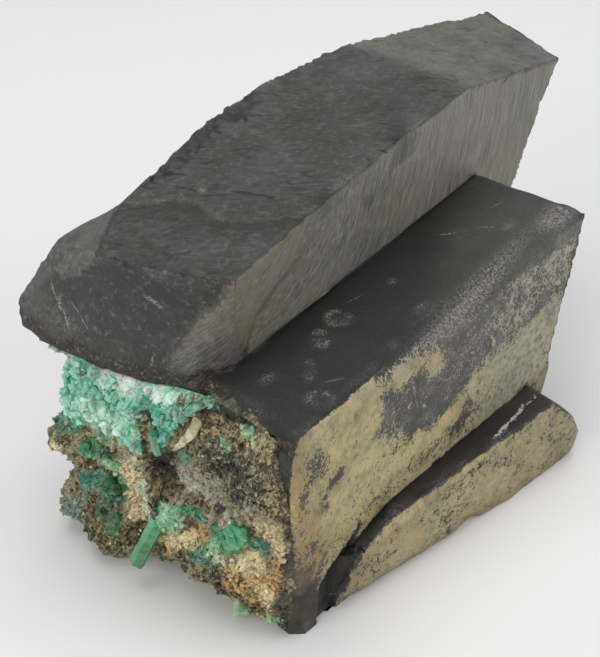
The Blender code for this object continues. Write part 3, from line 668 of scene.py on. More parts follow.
SHALE_LAYERS = [
    ("cloud", 0.0, 0.1, "pale", 0.8, "#63625f"),
    ("cloud", 0.0, 0.1, "olive", 0.8, "#828175"),
    ("swirl", 0.52, 0.34, "hackles", 0.42, "#262524"),
    ("swirl", 0.5, 0.66, "hackles", 0.16, "#77767a"),
    # The pale streaks along the hackles are a painted highlight on their ridges
    ("streak", 0.5, 0.7, "hackles", 0.15, "#9a9997"),
    ("grit", 0.52, 0.68, "hackles", 0.2, "#8a8988"),
    ("grit", 0.48, 0.34, "hackles", 0.32, "#1b1a19"),
    ("streak", 0.48, 0.3, "hackles", 0.54, "#191817"),
    ("grit", 0.55, 0.7, "dusty", 0.45, "#92908c"),
    ("blotch", 0.48, 0.34, "dusty", 0.4, "#242322"),
    ("ribbon", 0.46, 0.66, "fibres", 0.4, "#a8a593"),
    ("ribbon", 0.48, 0.3, "fibres", 0.4, "#41403a"),
    ("hair", 0.48, 0.64, "fibres", 0.6, "#b9b8aa"),
    ("hair", 0.48, 0.34, "fibres", 0.46, "#34332c"),
    ("blotch", 0.42, 0.66, "rust", 0.62, "#83693f"),
    ("fine", 0.0, 0.1, "dark", 0.75, "#1d1c1b"),
    ("fine", 0.0, 0.1, "polished", 0.88, "#0c0b0a"),
]
body = add(shale, "ValToRGB", {"Fac": noises["cloud"]},
           stops=[(0.3, "#252423"), (0.55, "#2e2d2b"), (0.75, "#393735")])
body = layered(shale, body, [(noises[noise_name], low, high, strength, code, marks[mark])
                             for noise_name, low, high, mark, strength, code in SHALE_LAYERS])

# Thin grooves and scratches: full at their middle line and gone about one width from it, where a noise
# makes them uneven

thin_marks = {}
for name, noise_name in (("groove", "fine"), ("scratch", "speck")):
    beside = add(shale, "Math", {0: marks[name + " side"]}, operation="ABSOLUTE")
    beside = add(shale, "Math", {0: noises[noise_name], 1: -1.6, 2: beside}, operation="MULTIPLY_ADD")
    shown = add(shale, "MapRange", {"Value": beside, "From Min": 0.3, "From Max": -0.2, "To Max": 0.8})
    thin_marks[name] = add(shale, "Math", {0: shown, 1: marks[name + " near"]}, operation="MULTIPLY")

# Short grooves where a hackle ends: thin bands at the middle level of a slow noise, broken up by another

off_middle = add(shale, "Math", {0: noises["groove"], 1: 0.5, 2: 0.011}, operation="COMPARE")
rough_here = add(shale, "MapRange", {"Value": noises["rough"], "From Min": 0.54, "From Max": 0.64,
                                     "To Max": 0.7})
groove = add(shale, "Math", {0: off_middle, 1: rough_here}, operation="MULTIPLY")
groove = add(shale, "Math", {0: groove, 1: marks["hackles"]}, operation="MULTIPLY")
groove = add(shale, "Math", {0: thin_marks["groove"], 1: groove}, operation="ADD", use_clamp=True)
body = add(shale, "Mix", {"Factor": groove, "A": body, "B": "#1b1a19"}, data_type="RGBA")

# Below the step the tongue is browner, and painted shade makes it darker, most of all right below the step

past_lip = add(shale, "Math", {0: noises["fine"], 1: 0.8, 2: marks["tongue"]}, operation="MULTIPLY_ADD")
past_lip = add(shale, "MapRange", {"Value": past_lip, "From Min": 0.3, "From Max": 0.5})
from_lip = add(shale, "MapRange", {"Value": marks["tongue"], "From Min": 9.0, "From Max": 0.0,
                                   "To Max": 0.64})
tongue_tint_and_painted_shade = add(shale, "Math", {0: past_lip, 1: from_lip}, operation="MULTIPLY")
body = add(shale, "Mix", {"Factor": tongue_tint_and_painted_shade, "A": body, "B": "#282522"}, data_type="RGBA")

# The clay film lies where its mark and three noises add up to more than a level. It is streaked, ashen
# towards the far end, worn thin in places and stained by rust.

film_grit = add(shale, "Math", {0: noises["speck"], 1: 0.8, 2: noises["grit"]}, operation="MULTIPLY_ADD")
film_grit = add(shale, "Math", {0: noises["streak"], 1: 0.4, 2: film_grit}, operation="MULTIPLY_ADD")
film_here = add(shale, "Math", {0: film_grit, 1: 1.0, 2: marks["film"]}, operation="MULTIPLY_ADD")
film_mask = add(shale, "MapRange", {"Value": film_here, "From Min": 1.53, "From Max": 1.62})
clay = add(shale, "ValToRGB", {"Fac": noises["blotch"]},
           stops=[(0.32, "#9a8f6c"), (0.5, "#c3b78c"), (0.68, "#d2c58c")])
clay = layered(shale, clay, [(noises["ribbon"], 0.5, 0.36, 0.4, "#8f8768"),
                             (noises["hair"], 0.5, 0.36, 0.45, "#7b7152"),
                             (noises["streak"], 0.54, 0.7, 0.5, "#cfbd88")])
clay_ash = add(shale, "ValToRGB", {"Fac": noises["grit"]},
               stops=[(0.36, "#77766a"), (0.52, "#a5a491"), (0.7, "#b9b8a6")])
clay = add(shale, "Mix", {"Factor": marks["ashen"], "A": clay, "B": clay_ash}, data_type="RGBA")
worn_here = add(shale, "MapRange", {"Value": noises["grit"], "From Min": 0.36, "From Max": 0.62,
                                    "To Min": 1.0, "To Max": 0.45})
worn_here = add(shale, "Math", {0: worn_here, 1: marks["worn"]}, operation="MULTIPLY")
clay = add(shale, "Mix", {"Factor": worn_here, "A": clay, "B": "#6b6250"}, data_type="RGBA")
clay = layered(shale, clay, [(noises["grit"], 0.44, 0.62, 0.75, "#ab8042", marks["rust"])])
body = add(shale, "Mix", {"Factor": film_mask, "A": body, "B": clay}, data_type="RGBA")

# Dust on bruises and scratches with the painted highlight along the tongue's step, the ragged grains at the
# contact with the crust, and the ledge's vein

struck_and_lip_highlight = add(shale, "MapRange", {"Value": noises["speck"], "From Min": 0.42, "From Max": 0.66})
struck_and_lip_highlight = add(shale, "Math", {0: struck_and_lip_highlight, 1: marks["scuff"]}, operation="MULTIPLY")
scratch = add(shale, "MapRange", {"Value": noises["speck"], "From Min": 0.38, "From Max": 0.6,
                                  "To Max": 0.8})
scratch = add(shale, "Math", {0: thin_marks["scratch"], 1: scratch}, operation="MULTIPLY")
struck_and_lip_highlight = add(shale, "Math", {0: scratch, 1: struck_and_lip_highlight}, operation="ADD", use_clamp=True)
body = add(shale, "Mix", {"Factor": struck_and_lip_highlight, "A": body, "B": "#a19e98"}, data_type="RGBA")
contact_grains = add(shale, "ValToRGB", {"Fac": noises["fine"]},
                     stops=[(0.42, "#171411"), (0.54, "#30281e"), (0.64, "#6b5f49"), (0.74, "#b0ad97")])
at_contact = add(shale, "Math", {0: marks["contact"], 1: 0.9}, operation="MULTIPLY")
body = add(shale, "Mix", {"Factor": at_contact, "A": body, "B": contact_grains}, data_type="RGBA")
vein_width = add(shale, "MapRange", {"Value": noises["fine"], "From Min": 0.35, "From Max": 0.7,
                                     "To Max": 1.1})
vein = add(shale, "Math", {0: marks["vein"], 1: vein_width}, operation="LESS_THAN")
body = add(shale, "Mix", {"Factor": vein, "A": body, "B": "#b9b6ae"}, data_type="RGBA")

# The relief too fine for the mesh, added up as one height

height = add(shale, "Math", {0: noises["fine"], 1: 0.45}, operation="MULTIPLY")
rib_height = add(shale, "Math", {0: marks["fibres"], 1: 0.5}, operation="MULTIPLY")
for value, weight in ((noises["streak"], marks["hackles"]), (noises["hair"], rib_height), (film_mask, 0.1),
                      (groove, -0.5), (noises["grit"], 0.35)):
    height = add(shale, "Math", {0: value, 1: weight, 2: height}, operation="MULTIPLY_ADD")
fine_relief = add(shale, "Bump", {"Height": height, "Strength": 0.75, "Distance": 0.0005})
roughness = add(shale, "MapRange", {"Value": noises["fine"], "From Min": 0.3, "From Max": 0.7,
                                    "To Min": 0.48, "To Max": 0.68})
roughness = add(shale, "Math", {0: film_mask, 1: 0.2, 2: roughness}, operation="MULTIPLY_ADD")
add(shale, "OutputMaterial", {"Surface": add(shale, "BsdfPrincipled", {
    "Base Color": body, "Roughness": roughness, "Normal": fine_relief, "IOR": 1.5})})

shale_mesh.materials.clear()
shale_mesh.materials.append(shale)
shale_mesh.polygons.foreach_set("use_smooth", [True] * len(shale_mesh.polygons))
shale_mesh.set_sharp_from_angle(angle=BROKEN_EDGE_ANGLE)
stone = bpy.data.objects.new("shale_matrix", shale_mesh)
bpy.context.scene.collection.objects.link(stone)
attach(stone, "root")
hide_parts("black_shale")

# Mineral crust
# A vein of calcite, pyrite and beryl coats the shale's broken end, about a centimetre thick. It is one
# mass of grown-together crystals and broken grains, so every grain has flat faces of its own.

# The outline of the crust's face: how far it reaches to each side by height, and up and down by place

CRUST_LEFT = [(0, 42), (2, 44.6), (6, 45.6), (9, 43.8), (11, 42.8), (15, 42.8), (19, 41.6), (22.4, 42.5),
              (23.6, 48.4), (26.5, 48.6), (33, 46), (36, 41.4), (45, 37), (52, 35.5), (56, 36), (59, 42)]
CRUST_RIGHT = [(0, -32.4), (30, -31.8), (46, -31), (53, -29.8), (59, -26.8)]
CRUST_TOP = [(-30, 55), (-25, 59.6), (-17, 62), (-8, 62.2), (-2, 61), (6, 59.4), (46, 59.2)]
CRUST_FOOT = [(-33, 0.4), (-26, 1.2), (-19, 0.5), (-11, 2.6), (0, 3.6), (6, 3.6), (12, 3.2), (20, 1.2),
              (26, 0.4), (36, 1.4), (42, 2.8)]
CRUST_FACE_X, CRUST_ROOT_X = -84.8, -79.5
CRUST_LOBES = {
    "shoulder below the slab": ((24, 47), (15, 9), 0.5),
    "boss, low left": ((25, 6.6), (9.5, 10.5), 8.2),
    "spur, low left": ((40.5, 5.6), (4.6, 4.6), 4.0),
    "boss, left": ((37, 27), (8, 6), 2.5),
    "calcite shelf": ((-12, 17), (17, 9), 3.2),
    "root of the large prism": ((3, 22), (8, 8), 2.0),
    "cavity": ((8.4, 35.2), (4.4, 3.8), -4.8),
    "bowl": ((-9, 42), (11, 9), -1.8),
    "slope up to the middle block": ((-12, 64), (16, 9), -6.0),
    "dip, left middle": ((15, 30), (7, 6), -1.8),
    "hole by the small emeralds": ((26.4, 24), (2.2, 2), -2.2),
    "thin right edge": ((-36, 30), (7, 40), -2.4),
    "seat of the druse": ((16, 54), (22, 9), -2.2),
}

# Each mineral: its two commonest colours, the colour and share of the grains among it, how rough it is
# and how metallic

MINERALS = {
    "olive rock": ("#7e7758", "#b0a880", "#2b2419", 0.24, 0.7, 0.0),
    "brown pyrite": ("#564f38", "#8a8058", "#1c170f", 0.28, 0.35, 0.35),
    "gold pyrite": ("#a88448", "#d7b473", "#3b2d18", 0.2, 0.3, 0.9),
    "tan rock": ("#9c8c66", "#b9aa82", "#332a1e", 0.34, 0.75, 0.0),
    "salt and pepper": ("#22221e", "#45443d", "#ccc09c", 0.22, 0.6, 0.1),
    "black shale": ("#24211d", "#38332c", "#8d7f5f", 0.14, 0.6, 0.0),
    "cream calcite": ("#c4b184", "#e4d8b2", "#74552d", 0.18, 0.6, 0.0),
    "orange calcite": ("#b08a52", "#cfae78", "#5c4223", 0.24, 0.6, 0.0),
    "white calcite": ("#aab094", "#ccd0b8", "#6e6a4f", 0.1, 0.55, 0.0),
    "grey calcite": ("#857f6e", "#b0a894", "#46413a", 0.16, 0.6, 0.0),
    "pinkish grey": ("#8c816b", "#aa9c80", "#4a4036", 0.2, 0.6, 0.0),
    "pale beryl": ("#7fb088", "#a6cda6", "#4d6a4d", 0.1, 0.35, 0.0),
    "green beryl": ("#3f8259", "#6aa87c", "#2a4a36", 0.14, 0.3, 0.0),
    "teal beryl": ("#357a62", "#62a388", "#20483c", 0.14, 0.3, 0.0),
    "dark beryl": ("#27503a", "#3e6d50", "#15261c", 0.16, 0.3, 0.0),
    "smoky beryl": ("#5d7a6c", "#8aa596", "#384a3c", 0.2, 0.25, 0.0),
    # The hollow is no mineral: its near-black colours are painted shade, laid where the crust and the druse
    # have cavities and slots
    "hollow": ("#171512", "#24211c", "#3a342a", 0.1, 0.8, 0.0),
}

# Where each mineral lies on the face: middle across and up, reach across and up, and tilt, if any

CRUST_PATCHES = {
    "olive rock": [((36, 25), (4, 7)), ((31, 35), (6, 2.4)), ((40, 12), (3, 3)), ((17, 15.4), (4, 2.4)),
        ((-8.4, 17), (2.2, 1.5)), ((-2, 6.6), (12, 1.4), 4)],
    "smoky beryl": [((41, 35), (4, 3)), ((33.6, 14.6), (3, 2), -20), ((37, 7.6), (4, 2.6))],
    "teal beryl": [((36.6, 36.4), (4, 2.8)), ((44, 33.4), (3, 2)), ((31.4, 21.6), (4, 2.8)),
        ((0.4, 43.6), (2.8, 1.8)), ((-8, 61.2), (4.6, 0.9), -8), ((-5.4, 28.8), (2.4, 1.6)),
        ((-9.4, 19), (3.6, 1.9)), ((-24.4, 28), (3.2, 2), -30)],
    "cream calcite": [((43, 26), (2.6, 1.4)), ((19, 29.6), (3.4, 3.8)), ((17.2, 22.4), (7.6, 3.6), 66),
        ((15.1, 33.4), (1.2, 1.2)), ((-4.4, 21.6), (3, 2.8)), ((7, 13.6), (2.8, 6), -14),
        ((2.6, 15), (3, 3.4)), ((-25.6, 34), (4, 2.6)), ((-29, 30), (2, 4)), ((-22, 21.4), (4, 5)),
        ((-27, 11.6), (4, 3.2)), ((-25, 14.6), (2.2, 1.8))],
    "dark beryl": [((45, 30.6), (3.4, 2)), ((26, 31.6), (2.6, 2.6)), ((21.4, 19.6), (3, 2.2)),
        ((24.6, 15.6), (3.4, 2.2)), ((28.4, 6.4), (3.6, 2), 20), ((33, 5), (3, 1.6)),
        ((-6.4, 17), (2.4, 1.8))],
    "brown pyrite": [((39, 30.4), (2.4, 2.2)), ((29.6, 26.6), (5, 1.8), -10), ((29, 15.4), (5, 3)),
        ((31, 9.8), (4, 3)), ((22.8, 8), (5, 4.4)), ((37, 16), (4, 3)), ((17, 10.4), (5, 3.4)),
        ((12.6, 14.4), (2.6, 3.4)), ((11.2, 28.4), (5.4, 1.8), 65), ((12.2, 35.4), (2.2, 2.2)),
        ((7.2, 29.4), (3.4, 2.4)), ((2.6, 32.4), (4.4, 2.2)), ((-5, 31.4), (4, 1.6)),
        ((-2.8, 24.8), (3, 2.2)), ((-0.4, 11.4), (3.6, 2.4)), ((-14, 8.4), (6, 2.2), 12),
        ((-20.6, 6.6), (6, 1.8), 12), ((-18.4, 10.2), (3.2, 2))],
    "gold pyrite": [((34.9, 40.6), (1.6, 1.4)), ((16.2, 14.9), (1.7, 1.7)), ((11, 46.2), (2, 2))],
    "white calcite": [((25.6, 40.6), (8, 1.8), -8), ((28.6, 36.2), (3.2, 1.3), -10), ((18, 33), (2.4, 2)),
        ((13.5, 23.4), (7, 2.3), 66), ((-4.6, 35), (4.6, 1.2), -18), ((-15.4, 31.4), (2.6, 1.4)),
        ((-13.6, 20.6), (3.2, 1.8))],
    "green beryl": [((25.4, 38.2), (3.2, 1.8)), ((30.5, 31.6), (3, 3.4)), ((23.2, 21.8), (3.2, 3.6)),
        ((20.6, 25.4), (2.2, 3)), ((20.5, 11.4), (2.6, 1.8)), ((-2.4, 28.6), (3.6, 2)),
        ((-12.6, 26), (3, 3)), ((-17, 26.5), (4, 2.6))],
    "pinkish grey": [((20, 36.6), (4.4, 3.2)), ((15, 38), (3, 2.6)), ((-2.2, 31.8), (4, 1.6), -10),
        ((-13.6, 30.4), (3, 1.8)), ((-24.6, 38), (3, 2.4)), ((-9, 27), (2.6, 2))],
    # Painted shade in the cavity and the holes
    "hollow": [((27.2, 31), (1.3, 1.3)), ((25.8, 24), (1.7, 1.5)), ((7.8, 36.4), (6.4, 4.4), -50),
        ((12.8, 41.2), (2.4, 1.2), 10), ((2.2, 34), (2.6, 1.5), -15)],
    "pale beryl": [((26, 28.2), (3.2, 2.4)), ((-17.6, 58.6), (3, 1.8)), ((-13.6, 53.4), (1.6, 1.2)),
        ((2, 25.6), (3.8, 3)), ((3.4, 21.4), (2.8, 3)), ((-11.6, 23), (3, 2)), ((-27.4, 5.4), (3, 1.6)),
        ((-19.4, 5.2), (3, 1.8))],
    "black shale": [((6.6, 25.8), (1.6, 2.2), -20), ((-15, 47), (8, 3), -22), ((-2.4, 58), (6, 1.7), -12),
        ((-14, 60.8), (9, 2), -4), ((-18, 63.6), (18, 1.6)), ((-11.7, 33), (3.2, 1.3)),
        ((-31, 25.5), (1.6, 6)), ((-30.8, 8.5), (2.6, 7)), ((-31.2, 40), (1.3, 8))],
    "grey calcite": [((-0.6, 39.6), (3.4, 4.6)), ((-7.6, 37), (6.4, 3.2), -16), ((-9.6, 31), (2.4, 1.6)),
        ((-19.7, 36), (5.4, 2.4), -14), ((-21.4, 40.2), (3.2, 1.8), -14)],
    "salt and pepper": [((-12, 50), (8, 5), -20), ((-18, 42.5), (8, 4.6), -20), ((-22, 50), (6, 5)),
        ((-11, 13.6), (4, 2.4))],
    "tan rock": [((-14.6, 45.4), (2.2, 1.4)), ((-21, 46), (2.4, 1.4)), ((-7, 55.4), (6, 2.6), -12),
        ((-15.6, 56.6), (5, 2.6)), ((-25.6, 54), (4.4, 4.4)), ((-27.6, 44), (3.6, 6)),
        ((-26.4, 49), (2.6, 3)), ((-21.5, 62.6), (3, 1.6))],
    "orange calcite": [((-6.6, 24.4), (2.4, 2)), ((5, 9.6), (3, 1.6)), ((-18.4, 15.4), (4.4, 3.4)),
        ((-26.4, 17), (3.6, 2.4)), ((-25.4, 9.4), (4, 2.6)), ((-29.4, 22), (1.8, 3))],
}


def facets(across, up, size, seed, steep):
    """Crystal facets: each place takes the nearest of points scattered one to a square, and that point's
    own slanted plane. Gives the height, the point's random number, and how near its border is."""
    flat = np.stack([across, up, across * 0], axis=-1) / size
    cells = np.floor(flat).astype(np.int64)
    near, second = np.full(across.shape, FAR_AWAY), np.full(across.shape, FAR_AWAY)
    height, number = np.zeros(across.shape), np.zeros(across.shape)
    for step_across, step_over in product((-1, 0, 1), repeat=2):
        cell = cells + (step_across, step_over, 0)
        away = [flat[..., axis] - cell[..., axis] - hashed(cell, seed + axis) for axis in (0, 1)]
        distance = np.hypot(*away)
        slants = [hashed(cell, seed + 5 + axis) - 0.5 for axis in (0, 1)]
        plane = sum(away[axis] * slants[axis] for axis in (0, 1)) * steep * size * 2
        closer = distance < near
        second = np.where(closer, near, np.minimum(second, distance))
        number = np.where(closer, hashed(cell, seed + 9), number)
        height = np.where(closer, plane + (hashed(cell, seed + 11) - 0.5) * size * 0.5, height)
        near = np.where(closer, distance, near)
    return height, number, second - near


def tray(columns, rows, right, left, foot, top, turn_back):
    """A grid over a face: across from the right edge to the left, up from the foot to the top. The outer
    turn_back cells on each side stay at the edge and run backwards. Gives across, up, how far back each
    place is, and its distance to the nearest edge as a share of the face."""
    u = (np.arange(columns) - turn_back) / (columns - 1 - 2 * turn_back)
    v = (np.arange(rows) - turn_back) / (rows - 1 - 2 * turn_back)
    u, v = np.meshgrid(u, v)
    over = np.maximum.reduce([-u * columns, (u - 1) * columns, -v * rows, (v - 1) * rows]) / turn_back
    u, v = np.clip(u, 0, 1), np.clip(v, 0, 1)
    level = v * max(height for place, height in top)
    ends = along_line(right, level), along_line(left, level)
    across = ends[0] + u * (ends[1] - ends[0])
    low = along_line(foot, across)
    up = low + v * (along_line(top, across) - low)
    rim = np.minimum.reduce([u, 1 - u, v, 1 - v])
    return across, up, np.clip(over, 0, 1), rim


def grid_faces(rows, columns):
    """The quads of a grid that faces -X, with across running to the left as seen from there."""
    index = np.arange(rows * columns).reshape(rows, columns)
    quads = np.stack([index[:-1, :-1], index[1:, :-1], index[1:, 1:], index[:-1, 1:]], axis=-1)
    return quads.reshape(-1, 4).tolist()


def which_mineral(across, up, places_of, ground, seed):
    """The mineral at each place: the patch whose bell stands highest once noise has made its outline
    ragged and each mineral streaky, or the ground where none stands above a third. Also the mean of the
    minerals' first two colours there, each weighted by its bell cubed."""
    places = np.stack([across.ravel(), up.ravel(), across.ravel() * 0], axis=1)
    ragged = [fractal(places, 4.5, seed, 3) * 1.5, fractal(places, 4.5, seed + 7, 3) * 1.5]
    a, b = across.ravel() + ragged[0], up.ravel() + ragged[1]
    names = list(MINERALS)
    means = np.array([np.add(colour(row[0]), colour(row[1]))[:3] / 2 for row in MINERALS.values()])
    streaky = {name: 1 + 0.55 * noise(places, 1.6, seed + 20 + index) for index, name in enumerate(names)}
    best, chosen = np.full(a.shape, 0.33), np.full(a.shape, names.index(ground))
    weights, mixed = np.full(a.shape, 0.03), np.full((*a.shape, 3), means[names.index(ground)] * 0.03)
    for name, (centre, radii, *tilt) in ((name, row) for name, rows in places_of.items() for row in rows):
        bell = patch(a, b, centre, radii, *tilt) * streaky[name]
        chosen, best = np.where(bell > best, names.index(name), chosen), np.maximum(bell, best)
        weights += np.abs(bell) ** 3
        mixed += np.abs(bell[:, None]) ** 3 * means[names.index(name)]
    return chosen.reshape(across.shape), (mixed / weights[:, None]).reshape(*across.shape, 3)


def mineral_look(chosen, mixed, number, fade, own=0.4):
    """The marks that a mineral's material reads, at each place: its colour, which is a share of its own,
    between its first two by a grain's number, and for the rest the mixed colour of the place; the colour
    and the share of the grains among it, how rough and how metallic it is, and the painted shade of the
    place, in crevices and the cavity, with its random tone."""
    first, second, grain = (np.array([colour(row[column])[:3] for row in MINERALS.values()])
                            for column in (0, 1, 2))
    share, rough, metal = (np.array([row[column] for row in MINERALS.values()]) for column in (3, 4, 5))
    chosen, number, fade = chosen.ravel(), number.ravel()[:, None], fade.ravel()[:, None]
    tint = first[chosen] * (1 - number) + second[chosen] * number
    tint = tint * own + mixed.reshape(-1, 3) * (1 - own)
    return {"mineral": tint, "grain": grain[chosen], "share": share[chosen], "rough": rough[chosen],
            "metal": metal[chosen], "fade": fade[:, 0]}


def mineral_marks(material):
    """Nodes: the marks that mineral_look gives, in its order."""
    outputs = {"mineral": "Vector", "grain": "Vector", "share": "Fac", "rough": "Fac", "metal": "Fac",
               "fade": "Fac"}
    return [add(material, "Attribute", out=out, attribute_name=name) for name, out in outputs.items()]


# The crust's skin: how many columns and rows it has, and how many of them turn back at its sides. Its
# facets come in three sizes, each with its seed and how steep they are. All round, its edge sinks.

CRUST_COLUMNS, CRUST_ROWS, CRUST_TURN = 350, 270, 12
CRUST_FACETS = ((2.1, 101, 0.6), (1.0, 131, 0.7), (0.55, 161, 0.6))
CRUST_EDGE_SINKS, CRUST_EDGE_SHARPNESS = 2.6, 26
across, up, behind, rim = tray(CRUST_COLUMNS, CRUST_ROWS, CRUST_RIGHT, CRUST_LEFT, CRUST_FOOT, CRUST_TOP,
                               CRUST_TURN)
flat_places = np.stack([across.ravel(), up.ravel(), across.ravel() * 0], axis=1)
(coarse, coarse_number, _), (medium, medium_number, medium_border), (speck_height, speck_number, _) = (
    facets(across, up, size, seed, steep) for size, seed, steep in CRUST_FACETS)
lumps = fractal(flat_places, 7, 171, 4).reshape(across.shape)
edge_wander = fractal(flat_places, 3.2, 181, 3).reshape(across.shape) * (rim < 0.02)

# How far each place stands out: its facets and lumps, which are calmer in the bowl, and its lobe

standing = coarse * 1.0 + medium * 0.7 + speck_height * 0.4 + lumps * 2.3
calm = patch(across, up, (-4, 39), (7, 4), -12) * 0.6
standing = standing * (1 - calm) + patches(across, up, CRUST_LOBES)
depth = CRUST_FACE_X - standing + CRUST_EDGE_SINKS * np.exp(-rim * CRUST_EDGE_SHARPNESS)
crust_x = depth + behind * (CRUST_ROOT_X - depth)
crust_y, crust_z = across + edge_wander * 0.9, np.maximum(up + edge_wander * 0.9, 0.3)
crust_verts = np.stack([crust_x, crust_y, crust_z], axis=-1).reshape(-1, 3)

# The mineral at each facet, and the painted shade in the crevices between the facets and in the cavity,
# with a random tone for each coarse facet

kinds, mixed = which_mineral(across + (medium_number - 0.5) * 1.2, up + (speck_number - 0.5) * 1.2,
                             CRUST_PATCHES, "olive rock", 191)
painted_crevice_shade_and_tone = (0.62 + 0.42 * step_up(medium_border, 0.0, 0.22)) * (0.78 + 0.44 * coarse_number)
painted_cavity_shade = 1 - 0.92 * patch(across, up, (7.8, 36.2), (5.6, 3.8), -50)
painted_crevice_shade_and_tone = painted_crevice_shade_and_tone * painted_cavity_shade
crust_look = mineral_look(kinds, mixed, medium_number, painted_crevice_shade_and_tone)

# Calcite, pyrite and beryl: sugary and slightly translucent, with dark and pale grains scattered through

minerals = new_material("calcite, pyrite and beryl, grown together")
in_mm = in_millimetres(minerals)
sugar, specks, pale_specks, spark = (
    add(minerals, "TexNoise", {"Vector": in_mm, "Scale": 1 / size, "Detail": layers, "Roughness": 0.72})
    for size, layers in ((0.6, 4), (1.5, 5), (1.2, 5), (0.8, 2)))
mineral, grain, share, rough, metal, fade = mineral_marks(minerals)
shade = add(minerals, "MapRange", {"Value": sugar, "From Min": 0.3, "From Max": 0.7, "To Min": 0.9,
                                   "To Max": 1.6})
body = add(minerals, "VectorMath", {0: mineral, "Scale": shade}, operation="SCALE")
speck_level = add(minerals, "Math", {0: share, 1: 0.5, 2: specks}, operation="MULTIPLY_ADD")
body = layered(minerals, body, [(speck_level, 0.63, 0.7, 0.9, grain),
                                (pale_specks, 0.58, 0.68, 0.4, "#cdc4a6")])
# The painted shade of the crevices and the cavity, with each grain's random tone, darkens the colour last
body = add(minerals, "VectorMath", {0: body, "Scale": fade}, operation="SCALE")
sugar_bump = add(minerals, "Bump", {"Height": sugar, "Strength": 0.7, "Distance": 0.0004})
spark_shown = add(minerals, "MapRange", {"Value": spark, "From Min": 0.5, "From Max": 0.6})
add(minerals, "OutputMaterial", {"Surface": add(minerals, "BsdfPrincipled", {
    "Base Color": body, "Roughness": rough, "Normal": sugar_bump, "IOR": 1.58,
    "Metallic": add(minerals, "Math", {0: metal, 1: spark_shown}, operation="MULTIPLY"),
    "Subsurface Weight": 0.12, "Subsurface Radius": (0.8, 0.8, 0.6), "Subsurface Scale": 0.001})})

crust = put_mesh("crust", crust_verts, grid_faces(CRUST_ROWS, CRUST_COLUMNS), minerals)
store_all(crust.data, crust_look)
crust.data.set_sharp_from_angle(angle=math.radians(40))
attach(crust, "root")
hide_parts("mineral_crust")

# Grains and small crystals of the same minerals that stand out of the crust, fused to it


def unit(vectors):
    """Vectors scaled to a length of one."""
    return vectors / np.linalg.norm(vectors, axis=-1, keepdims=True)


def crystals(places, axes, radii, lengths, sides, roughness, rng):
    """Many prisms as one set of arrays: for each, a ring of corners around its axis at both ends, pushed
    about by a share of its radius. Gives each crystal's two rings in turn, then all walls and all lids."""
    count = len(places)
    axes = unit(axes)
    helper = np.where(np.abs(axes[:, 2:]) < 0.8, (0.0, 0.0, 1.0), (1.0, 0.0, 0.0))
    first = unit(np.cross(axes, helper))
    second = np.cross(axes, first)
    turn = rng.uniform(0, math.tau, count)[:, None] + np.arange(sides) * math.tau / sides
    ring = (np.cos(turn)[..., None] * first[:, None] + np.sin(turn)[..., None] * second[:, None])
    ring = ring * radii[:, None, None]
    ends = []
    for way, taper in ((-0.5, 1.0), (0.5, rng.uniform(0.75, 1.0, count)[:, None, None])):
        middle_of_end = (places + axes * (lengths * way)[:, None])[:, None]
        jitter = rng.normal(0, 1, ring.shape) * radii[:, None, None] * roughness
        ends.append(middle_of_end + ring * taper + jitter)
    verts = np.concatenate(ends, axis=1)
    step = np.arange(sides)
    walls = np.stack([step, (step + 1) % sides, (step + 1) % sides + sides, step + sides], axis=1)
    start = (np.arange(count) * sides * 2)[:, None, None]
    quads = (walls[None] + start).reshape(-1, 4)
    caps = np.stack([step[::-1], step + sides])
    lids = (caps[None] + start).reshape(-1, sides)
    return verts.reshape(-1, 3), quads.tolist() + lids.tolist()


def outward(values_x, values_y, values_z):
    """The way a grid faces at each of its places: the cross product of its two slopes."""
    grid = np.stack([values_x, values_y, values_z], axis=-1)
    return unit(np.cross(np.gradient(grid, axis=0), np.gradient(grid, axis=1)))


# They grow where the face is open: not on its turned-back sides, at its foot or under the druse

rng = np.random.default_rng(11)
crust_out = outward(crust_x, crust_y, crust_z).reshape(-1, 3)
open_face = np.flatnonzero((behind.ravel() < 0.3) & (crust_z.ravel() > 2.2)
                           & ~((up.ravel() > 43) & (across.ravel() > 0)))
kind_names = np.array(list(MINERALS))[kinds.ravel()]
GRAINS, GRAIN_SIDES, GRAIN_ROUGHNESS = 3600, 5, 0.2
chosen = rng.choice(open_face, GRAINS, replace=False)
size = 0.2 + 0.7 * rng.uniform(0, 1, GRAINS) ** 3
size *= np.where(np.isin(kind_names[chosen], ("hollow", "grey calcite")), 0.6, 1)
lean = crust_out[chosen] + rng.normal(0, 0.6, (GRAINS, 3))
grain_length = size * rng.uniform(1.0, 2.2, GRAINS)
grain_verts, grain_faces = crystals(crust_verts[chosen], lean, size, grain_length, GRAIN_SIDES,
                                    GRAIN_ROUGHNESS, rng)
grains_piece = put_mesh("crust_grains", grain_verts, grain_faces, minerals, smooth=False)
# Each grain has a random tone, and painted shade where it stands in the cavity
grain_look = mineral_look(kinds.ravel()[chosen], mixed.reshape(-1, 3)[chosen], rng.uniform(0, 1, GRAINS),
                          rng.uniform(0.85, 1.15, GRAINS) * painted_cavity_shade.ravel()[chosen])
store_all(grains_piece.data, grain_look, GRAIN_SIDES * 2)
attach(grains_piece, "root")

# Pyrite
# Brassy iron sulphide cubes, up to 0.7 mm wide, grew in the brown and golden parts of the crust and are
# fused to it.

# Pyrite, natural: a brassy metal, duller and browner where it has tarnished, with etched faces

